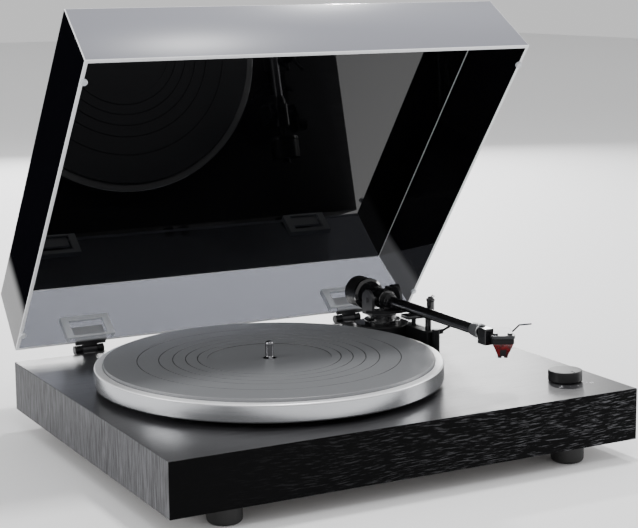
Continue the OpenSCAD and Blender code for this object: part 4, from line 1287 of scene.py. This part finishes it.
    def lever(self) -> None:
        """Makes the cue lever with its barrel and round end."""
        box, axis = Box.of("cue_lever"), joint_point("cue_lever_turn")
        x = axis.x + 5.7 * MM
        end = Vector((x, box.lo.y + self.lever_ball, box.hi.z - self.lever_ball))
        start = Vector((x, axis.y, axis.z))
        shell = Shell().rod(1.2 * MM, 0.5 * MM, 4.5 * MM, at(axis, "X"), edge=0)
        shell.rod(2.4 * MM, 4.2 * MM, 7.2 * MM, at(axis, "X"), edge=0.4 * MM, steps=48)
        shell.rod(self.lever_wire, 0, (end - start).length, pointing(start, end), edge=0.1 * MM, steps=32)
        shell.ball(self.lever_ball, end)
        self.put(shell.object("cue_handle"), "lever", "black_plastic", [GLOSS], ["cue_lever"])

    def bridge(self) -> None:
        """Makes the curved lift bridge with its pin."""
        box = Box.of("lift_bridge")
        axis = joint_point("arm_swivel")
        x, y = self.pin(box)
        inner, outer = 32.5 * MM, 35.5 * MM
        outline = arc(outer, -146, -50, 24) + arc(inner, -50, -146, 24)
        place = Matrix.Translation(Vector((axis.x, axis.y, 0)))
        shell = Shell().prism(outline, box.hi.z - 2.5 * MM, box.hi.z, place, 0.4 * MM)
        shell.rod(2.2 * MM, box.lo.z, box.hi.z - 0.5 * MM, at(Vector((x, y, 0))), steps=48)
        self.put(shell.object("arm_lifter"), "bridge", "black_plastic", [BLACK], ["lift_bridge"])

    def yoke(self) -> None:
        """Makes the turning yoke, with plates that have a round top."""
        box, axis = Box.of("arm_yoke"), joint_point("arm_lift")
        half, r, low = self.yoke_half, self.yoke_round, box.lo.z - axis.z
        crown = arc(r, 0, 180, 18)
        plate = crown + [(-r, low), (r, low)]
        wide = crown[1:] + [(-r, low), (r, low), (20 * MM, low + 8.5 * MM), (20 * MM, 7.8 * MM),
                            (6.2 * MM, 7.8 * MM)]
        turn = Matrix(((0, 0, 1), (1, 0, 0), (0, 1, 0))).to_4x4()
        place = Matrix.Translation(axis) @ turn
        shell = Shell().prism(plate, -half, -half + self.yoke_plate, place, 0.5 * MM)
        shell.prism(wide, half - self.yoke_plate, half, place, 0.5 * MM)
        floor = Vector((axis.x, axis.y, box.lo.z))
        shell.rod(self.yoke_neck, 0, self.yoke_floor, at(floor), bore=3.9 * MM)
        shell.slab(floor + Vector((-half + 1 * MM, -r + 0.3 * MM, 0.02 * MM)),
                   floor + Vector((half - 1 * MM, r - 0.3 * MM, self.yoke_floor - 0.05 * MM)), 0.2 * MM)
        made = shell.object("arm_fork")
        self.put(made, "arm_gimbal", "dark_grey_metal", [DARK_METAL], ["arm_yoke"])

    def skate(self) -> None:
        """Makes the anti-skate knob."""
        box, axis = Box.of("anti_skate_knob"), joint_point("anti_skate_turn")
        spot = at(Vector((0, axis.y, axis.z)), "X")
        pin, r, back = 1.5 * MM, 6 * MM, box.hi.x - 8 * MM
        line = [(0, box.lo.x), (pin, box.lo.x), (pin, back), (r, back), (r, box.hi.x), (0, box.hi.x)]
        shell = Shell().lathe(soften(line, [0, 0.2 * MM, 0, 0.8 * MM, 0.9 * MM, 0], steps=4), spot)
        self.put(shell.object("skate_dial"), "skate_knob", "black_plastic", [BLACK], ["anti_skate_knob"])


@dataclass
class ToneArm(Assembly):
    """Tube, pivot block, counterweight, dial, collar and headshell."""

    tube: float = 4.99 * MM
    weight_bore: float = 4.04 * MM
    guard: float = 8.4 * MM
    wire: float = 0.75 * MM
    offset: float = 26.0

    def build(self) -> None:
        """Makes the arm from its rear end to the stylus."""
        self.axis = joint_point("arm_lift")
        self.rear()
        self.block()
        self.tube_piece()
        self.collar()
        self.head()
        self.pickup()
        self.finger()

    def along(self) -> Matrix:
        """Gives the frame whose Z runs back along the arm.

        Returns:
            Matrix from that frame to the row frame.
        """
        return at(Vector((self.axis.x, 0, self.axis.z)), "Y")

    def rear(self) -> None:
        """Makes the counterweight, its shaft and the force dial."""
        weight, dial, shaft = Box.of("counterweight"), Box.of("force_dial"), Box.of("counterweight_shaft")
        place = self.along()
        r, a, b, bore = weight.size.x / 2, weight.lo.y, weight.hi.y, self.weight_bore
        low, high, floor = b - 2.4 * MM, b - 1.9 * MM, r - 0.5 * MM
        ring = [(bore, a), (r, a), (r, low), (floor, low), (floor, high), (r, high), (r, b), (bore, b)]
        rounding = [0, 0.9 * MM, 0.1 * MM, 0, 0, 0.1 * MM, 1.2 * MM, 0]
        shell = Shell().lathe(soften(ring, rounding, closed=True, steps=4), place, True, 128)
        body = Satin("weight_black", (0.02, 0.02, 0.021), 0.33, metallic=0.4)
        self.put(shell.object("rear_weight"), "weight", "dark_grey_metal", [body], ["counterweight"])
        r, a, b = dial.size.x / 2, dial.lo.y, dial.hi.y
        ring = [(bore, a), (r - 2.4 * MM, a), (r, a + 1.5 * MM), (r, b), (bore, b)]
        rounding = [0, 0.3 * MM, 0.3 * MM, 0.3 * MM, 0]
        shell = Shell().lathe(soften(ring, rounding, closed=True), place, True, 128)
        for k in range(30):
            turn = place @ Matrix.Rotation(math.radians(12 * k), 4, "Z")
            long, end = 2.2 * MM if k % 5 == 0 else 1.2 * MM, b - 0.3 * MM
            lo, hi = (r - 0.1 * MM, -0.12 * MM, end - long), (r - 0.02 * MM, 0.12 * MM, end)
            shell.slab(lo, hi, 0, turn, mat=1)
        self.put(shell.object("scale_dial"), "dial", "gloss_black", [GLOSS, INK], ["force_dial"])
        shell = Shell().rod(shaft.size.x / 2, shaft.lo.y, shaft.hi.y, place, edge=0.5 * MM)
        made = shell.object("weight_shaft")
        self.put(made, "tonearm", "dark_grey_metal", [DARK_METAL], ["counterweight_shaft"])

    def block(self) -> None:
        """Makes the pivot block with its bosses and front collars."""
        box = Box.of("pivot_block")
        y0, front, back = self.axis.y, box.lo.y, box.hi.y
        place = self.along()
        nose, neck, barrel = 6 * MM, 7 * MM, 9.5 * MM
        ring = [(5 * MM, front), (nose, front), (nose, y0 - 16 * MM), (neck, y0 - 16 * MM),
                (neck, y0 - 10 * MM), (barrel, y0 - 10 * MM), (barrel, back), (4 * MM, back),
                (4 * MM, y0 + 4 * MM), (5 * MM, y0 - 4 * MM)]
        rounding = [0, 0.4 * MM, 0.1 * MM, 0.5 * MM, 0.1 * MM, 0.9 * MM, 0.9 * MM, 0, 0, 0]
        shell = Shell().lathe(soften(ring, rounding, closed=True, steps=4), place, True, 96)
        boss = at(self.axis, "X")
        reach = box.size.x / 2
        for low, high in ((-reach, -8.5 * MM), (8.5 * MM, reach)):
            shell.rod(4.5 * MM, low, high, boss, bore=1.54 * MM)
        self.put(shell.object("pivot_barrel"), "tonearm", "arm_black", [GLOSS], ["pivot_block"])

    def tube_piece(self) -> None:
        """Makes the straight arm tube."""
        box = Box.of("arm_tube")
        shell = Shell().rod(self.tube, box.lo.y, box.hi.y, self.along(), bore=4 * MM, edge=0.3 * MM, steps=96)
        self.put(shell.object("straight_tube"), "tonearm", "arm_black", [TUBE], ["arm_tube"])

    def collar(self) -> None:
        """Makes the fluted locking collar."""
        box = Box.of("locking_collar")
        r, a, b = box.size.x / 2, box.lo.y, box.hi.y
        bore, waist = 5.04 * MM, r - 0.7 * MM
        ring = [(bore, a), (r, a), (r, a + 7.4 * MM), (waist, a + 8 * MM), (waist, b), (bore, b)]
        shell = Shell().lathe(soften(ring, 0.35 * MM, closed=True, steps=3), self.along(), True, 96)
        metal = Knurled("collar_knurl", (0.6, 0.61, 0.63), (self.axis.x, self.axis.z))
        self.put(shell.object("fluted_collar"), "collar", "silver_metal", [metal], ["locking_collar"])

    def shell_frame(self) -> Matrix:
        """Gives the headshell's own frame: origin at the middle of its front edge, Y back, Z up.

        Returns:
            Matrix from that frame to the row frame.
        """
        turn = Matrix.Rotation(math.radians(-self.offset), 4, "Z")
        box = Box.of("cartridge", turn.inverted())
        point = Vector((box.mid.x, box.lo.y - 1 * MM, self.axis.z))
        return turn @ Matrix.Translation(point)

    def head(self) -> None:
        """Makes the neck block, the plate and the plug of the headshell."""
        box, place = Box.of("headshell"), self.shell_frame()
        neck_front = Box.of("locking_collar").lo.y - 0.3 * MM
        lo = Vector((self.axis.x - 4.5 * MM, neck_front - 12 * MM, box.lo.z))
        shell = Shell().slab(lo, Vector((self.axis.x + 4.5 * MM, neck_front, box.hi.z)), 0.7 * MM, mat=1)
        shell.rod(3.95 * MM, neck_front - 1 * MM, neck_front + 10 * MM, self.along(), edge=0.2 * MM)
        half, length, r = 10.5 * MM, 36 * MM, 3 * MM
        outline = arc(r, -90, 0, 6, (half - r, r))
        outline += [(half, length), (-half + 5 * MM, length), (-half, length - 8 * MM)]
        outline += arc(r, 180, 270, 6, (-half + r, r))
        shell.prism(outline, -3 * MM, 0, place, 0.4 * MM)
        made = shell.object("head_plate")
        plate = Satin("plate_silver", (0.045, 0.046, 0.049), 0.3, metallic=0.9)
        self.put(made, "tonearm", "silver_metal", [plate, GLOSS], ["headshell"])

    def pickup(self) -> None:
        """Makes the cartridge body and the dark red stylus guard."""
        place = self.shell_frame()
        turn = place.inverted()
        cart, guard = Box.of("cartridge", turn), Box.of("stylus", turn)
        made = Shell().slab(cart.lo, cart.hi, 0.5 * MM, place).object("cartridge_body")
        self.put(made, "tonearm", "black_plastic", [BLACK], ["cartridge"])
        low, y = guard.lo.z + 1.4 * MM, guard.lo.y
        draw = (guard.size.x - self.guard) / 2
        taper = (draw, draw, 1.5 * MM, guard.size.y * 0.45)
        shell = Shell().slab((guard.lo.x, y, low), (guard.hi.x, guard.hi.y, cart.lo.z - 0.1 * MM), 0.5 * MM,
                             place, taper)
        tip = 3 * MM
        for side in (-1, 1):
            x = side * (self.guard - tip) / 2
            lo, hi = (x - tip / 2, y + 1.6 * MM, guard.lo.z), (x + tip / 2, y + 6.4 * MM, low + 1 * MM)
            shell.slab(lo, hi, 0.3 * MM, place, mat=1)
        lo, hi = (-2.6 * MM, y + 0.68 * MM, low + 0.6 * MM), (2.6 * MM, y + 2.4 * MM, low + 7 * MM)
        shell.slab(lo, hi, 0.3 * MM, place, mat=1)
        red = Gel("stylus_red", (0.16, 0.006, 0.008), glow=0.15)
        self.put(shell.object("stylus_guard"), "tonearm", "stylus_red", [red, BLACK], ["stylus"])

    def finger(self) -> None:
        """Makes the bent finger lift."""
        place = self.shell_frame()
        box = Box.of("finger_lift", place.inverted())
        flat = -1.5 * MM
        points = [(box.lo.x + 0.1 * MM, box.hi.y - 1 * MM, flat), (12 * MM, box.hi.y - 1 * MM, flat),
                  (17.5 * MM, box.hi.y - 2 * MM, 4.2 * MM),
                  (box.hi.x - 1 * MM, box.lo.y + 1 * MM, box.hi.z - 1 * MM)]
        shell = Shell()
        spots = [place @ Vector(p) for p in points]
        for start, end in zip(spots, spots[1:]):
            shell.rod(self.wire, 0, (end - start).length, pointing(start, end), edge=0.1 * MM, steps=24)
        for spot in spots[1:]:
            shell.ball(self.wire, spot)
        self.put(shell.object("finger_wire"), "tonearm", "dark_grey_metal", [DARK_METAL], ["finger_lift"])


@dataclass
class Lid(Assembly):
    """Clear lid with its pockets and bumpers."""

    wall: float = 3 * MM
    edge: float = 0.8 * MM
    side_taper: float = 4.5 * MM
    front_taper: float = 3.6 * MM
    rear_taper: float = 2 * MM
    edge_index: int = 4
    edge_area: float = 3e-5
    wall_area: float = 2e-3
    pocket_wall: float = 2.5 * MM
    bumper: float = 3 * MM

    def build(self) -> None:
        """Makes the lid, its pockets and its bumpers."""
        self.hinge = joint_point("lid_hinge")
        self.angle = math.radians(-joint("lid_hinge")["range_deg"][0])
        turn = Matrix.Rotation(self.angle, 4, Vector((-1, 0, 0)))
        self.place = Matrix.Translation(self.hinge) @ turn @ Matrix.Translation(-self.hinge)
        self.closed = self.place.inverted()
        self.shell()
        for side in ("left", "right"):
            self.pocket(side)
        self.bumpers()

    def shell(self) -> None:
        """Makes the lid's five walls with polished edges, each wall with its own painted reflection and
        shade.
        """
        box = Box.of("lid", self.closed)
        lo, hi = box.lo, box.hi
        taper = Vector((self.side_taper, self.side_taper, self.front_taper, self.rear_taper))
        part = block(lo, hi, taper, top=True)
        round_edges(part, part.edges, self.edge, 2, self.edge_index)
        made = Shell().take(part, Matrix.Identity(4), -1).object("clear_lid")
        inset, below = Vector((self.wall, self.wall, 0)), 2 * MM
        k = (hi.z - lo.z + below) / (hi.z - lo.z)
        floor, roof = lo + inset - Vector((0, 0, below)), hi - inset - Vector((0, 0, self.wall))
        inner = block(floor, roof, taper * k, top=True)
        round_edges(inner, inner.edges, self.edge / 2, 1, self.edge_index)
        carve(made, Shell().take(inner, Matrix.Identity(4), -1))
        mesh = made.data
        for face in mesh.polygons:
            n, c = face.normal, face.center
            if face.area < self.edge_area or c.z < lo.z + 0.5 * MM:
                face.material_index = self.edge_index
            elif face.material_index != self.edge_index or face.area > self.wall_area:
                if abs(n.z) > 0.7:
                    face.material_index = 0
                elif abs(n.x) > 0.7:
                    face.material_index = 2 if c.x < 0 else 1
                else:
                    face.material_index = 3 if c.y > box.mid.y else 5
            face.use_smooth = False
        mesh.transform(self.place)
        # Each wall gets its own tone of one clear sheet: the near-black top stands for dark surroundings seen
        # through it, the light grey front and mid grey rear are painted reflections, and the dark sides carry
        # a painted sheen near the hinge.
        finishes = [
            Acrylic("lid_panel", (0.0015, 0.0015, 0.002), 0.992, (0.5, 0.5, 0.52), shine=0.5),
            Acrylic("lid_right_painted_sheen", (0.002, 0.002, 0.003), 0.97, (0.6, 0.6, 0.63), painted_sheen=0.3, shine=0.3,
                    painted_sheen_strip=(self.hinge.y, self.hinge.z, self.angle, 52 * MM)),
            Acrylic("lid_left_painted_sheen", (0.002, 0.002, 0.003), 0.985, (0.8, 0.8, 0.83), painted_sheen=0.3, shine=0.0,
                    painted_sheen_strip=(self.hinge.y, self.hinge.z, self.angle, 70 * MM)),
            Acrylic("lid_rear_painted_reflection", (0.05, 0.052, 0.06), 0.36, (0.55, 0.56, 0.6)),
            EDGE_HIGHLIGHT,
            Acrylic("lid_front_painted_reflection", (0.27, 0.275, 0.31), 0.85, (0.8, 0.8, 0.85), roughness=0.3, shine=0.2),
        ]
        self.put(made, "lid_assembly", "clear_acrylic", finishes, ["lid"])
        made.modifiers.clear()

    def pocket(self, side: str) -> None:
        """Makes a clear hinge pocket as a frame with a window.

        Args:
            side: left or right.
        """
        box = Box.of("hinge_pocket_" + side, self.closed)
        lo, hi, t = box.lo, box.hi, self.pocket_wall
        shell = Shell()
        front, back, rear = lo.y + t, lo.y + t - 0.5 * MM, hi.y - 0.6 * MM
        skin, hair = lo.y + 0.02 * MM, 0.01 * MM
        for a, b in (((lo.x, lo.y, lo.z), (lo.x + 3 * t, front, hi.z)),
                     ((hi.x - 3 * t, lo.y, lo.z), (hi.x, front, hi.z)),
                     ((lo.x + t, skin, lo.z + 2 * hair), (hi.x - t, front, lo.z + t)),
                     ((lo.x + t, skin, hi.z - 2 * t), (hi.x - t, front, hi.z - 2 * hair)),
                     ((lo.x, back, lo.z + hair), (lo.x + t, rear, hi.z - hair)),
                     ((hi.x - t, back, lo.z + hair), (hi.x, rear, hi.z - hair)),
                     ((lo.x + 0.5 * MM, back, hi.z - t), (hi.x - 0.5 * MM, rear, hi.z))):
            shell.slab(a, b, 0.5 * MM, self.place)
        made = shell.object("pocket_frame_" + side)
        self.put(made, "lid_assembly", "clear_soft", [CLEAR], ["hinge_pocket_" + side])

    def bumpers(self) -> None:
        """Makes the round clear bumpers under the rim."""
        box = Box.of("lid_bumpers", self.closed)
        r = self.bumper
        shell = Shell()
        for x in (box.lo.x + r, box.hi.x - r):
            for y in (box.lo.y + r, box.hi.y - r):
                spot = self.place @ Matrix.Translation(Vector((x, y, box.lo.z)))
                line = [(0, 0), (r, 0), (r, box.size.z), (0, box.size.z)]
                shell.lathe(soften(line, [0, 0.9 * MM, 0.2 * MM, 0]), spot, steps=40)
        pad = Acrylic("bumper_pad", (0.8, 0.82, 0.85), 0.7, roughness=0.2)
        self.put(shell.object("rim_bumpers"), "lid_assembly", "clear_soft", [pad], ["lid_bumpers"])


@dataclass
class SpeedKnob(Assembly):
    """Speed knob with a pointer groove."""

    def build(self) -> None:
        """Makes the knob."""
        box = Box.of("speed_knob")
        r, top = box.size.x / 2, box.hi.z
        low = Box.of("plinth").hi.z + 0.8 * MM
        stem = 3 * MM
        line = [(0, box.lo.z), (stem, box.lo.z), (stem, low), (r - 0.4 * MM, low), (r, low + 0.6 * MM),
                (r, top - 0.2 * MM), (0, top)]
        rounding = [0, 0.3 * MM, 0, 0.2 * MM, 0.4 * MM, 1.1 * MM, 0]
        made = Shell().lathe(soften(line, rounding, steps=5), upright(box), steps=128).object("knob_cap")
        groove = Shell().slab((box.mid.x - 0.6 * MM, box.lo.y - 1 * MM, top - 0.5 * MM),
                              (box.mid.x + 0.6 * MM, box.lo.y + 6 * MM, top + 1 * MM), 0)
        carve(made, groove)
        for face in made.data.polygons:
            face.use_smooth = True
        cap = Turned("knob_black", (0.012, 0.012, 0.013), (box.mid.x, box.mid.y), pitch=0.0008,
                     roughness=0.42, metallic=0.2, depth=0.00001)
        self.put(made, "knob", "black_plastic", [cap], ["speed_knob"])


def dress_nodes() -> None:
    """Gives each CAD node that is still shown a procedural finish."""
    slots = {part["node"]: part["material_slot"] for part in frame["record"]["subparts"]}
    for name, node in frame["nodes"].items():
        finish = NODE_FINISHES.get(slots.get(name, ""), BLACK)
        if name.startswith("hinge_leaf"):
            finish = Plated("leaf_steel", Box.of("lid").lo.z + 3 * MM)
        elif name in ("cartridge_screws", "hinge_pins", "pivot_screws"):
            finish = DARK_METAL
        for index in range(len(node.data.materials)):
            node.data.materials[index] = finish.material()
        if not node.data.materials:
            node.data.materials.append(finish.material())


# ---- scene ----
@dataclass(frozen=True)
class Lamp:
    """A rectangular studio light."""

    name: str
    direction: tuple[float, float, float]
    distance: float
    size: Pair
    power: float
    colour: Colour = (1.0, 1.0, 1.0)

    def place(self, target: Vector) -> None:
        """Adds the light, turned to its target.

        Args:
            target: Point that it shines on.
        """
        data = bpy.data.lights.new(self.name, "AREA")
        data.shape, data.size, data.size_y = "RECTANGLE", self.size[0], self.size[1]
        data.energy, data.color = self.power, self.colour
        lamp = add_object(self.name, data)
        way = Vector(self.direction).normalized()
        lamp.location = target + way * self.distance
        lamp.rotation_euler = way.to_track_quat("Z", "Y").to_euler()
        lamp.visible_camera = False
        lamp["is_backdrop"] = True


@dataclass
class Studio:
    """Pale floor, soft lights and the camera."""

    floor: Colour = (0.88, 0.88, 0.89)
    floor_low: tuple[float, float, float] = (-6, -6, -0.02)
    floor_high: tuple[float, float, float] = (6, 9, 0)
    world: float = 0.75
    lens: float = 92.82
    eye: tuple[float, float, float] = (-0.66535, -1.29834, 0.4149)
    yaw: float = 28.118
    pitch: float = -9.151
    roll: float = -0.501
    shift: Pair = (-0.0083, -0.0387)
    lamps: tuple[Lamp, ...] = field(default_factory=lambda: (
        Lamp("overhead", (0.18, 0.05, 1.0), 1.7, (0.25, 0.25), 24),
        Lamp("back_right", (0.4, 0.55, 0.44), 2.2, (0.12, 0.12), 26),
        Lamp("back_low", (0.33, 0.92, 0.165), 2.4, (1.9, 0.45), 34),
        Lamp("left_wall", (-1.0, 0.1, 0.3), 2.8, (1.2, 0.8), 26),
        Lamp("right_wall", (1.0, -0.2, 0.25), 2.6, (1.0, 0.5), 22),
        Lamp("front_top", (-0.25, -0.7, 1.0), 2.0, (0.8, 0.5), 7),
    ))

    def build(self) -> None:
        """Adds the floor, the lights and the camera."""
        low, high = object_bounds()
        target = (Vector(low) + Vector(high)) / 2
        floor = Shell().slab(self.floor_low, self.floor_high, 0).object("floor")
        paint = Satin("floor_paint", self.floor, 0.6, depth=0.00001, vary=0.04)
        floor.data.materials.append(paint.material())
        floor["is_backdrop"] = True
        world = bpy.data.worlds.new("studio")
        world.use_nodes = True
        sky = world.node_tree.nodes["Background"]
        sky.inputs[0].default_value = (1.0, 1.0, 1.0, 1.0)
        sky.inputs[1].default_value = self.world
        bpy.context.scene.world = world
        for lamp in self.lamps:
            lamp.place(target)
        self.camera()

    def camera(self) -> None:
        """Adds the camera."""
        data = bpy.data.cameras.new("camera")
        data.lens, data.sensor_width = self.lens, 36.0
        data.shift_x, data.shift_y = self.shift
        camera = add_object("camera", data)
        yaw, pitch = math.radians(self.yaw), math.radians(self.pitch)
        ahead = Vector((math.sin(yaw) * math.cos(pitch), math.cos(yaw) * math.cos(pitch), math.sin(pitch)))
        turn = (-ahead).to_track_quat("Z", "Y").to_matrix().to_4x4()
        roll = Matrix.Rotation(math.radians(self.roll), 4, "Z")
        camera.matrix_world = Matrix.Translation(self.eye) @ turn @ roll
        bpy.context.scene.camera = camera


def write_sizes(name: str, sizes: dict[str, list[list[float]]]) -> None:
    """Args:
        name: Key of the box.
        sizes: The boxes so far, each as its low and high corner; it is extended.
    """
    sizes[name] = [[float(v) for v in corner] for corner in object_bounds()]


def main() -> None:
    """Builds the looks and the studio."""
    logging.basicConfig(level=logging.INFO, format="%(name)s %(message)s", stream=sys.stdout)
    sizes: dict[str, list[list[float]]] = {}
    write_sizes("cad", sizes)
    dress_nodes()
    for assembly in (Plinth(), PlatterSet(), ArmTower(), ToneArm(), Lid(), SpeedKnob()):
        assembly.build()
    Studio().build()
    write_sizes("visual", sizes)


if __name__ == "__main__":
    main()
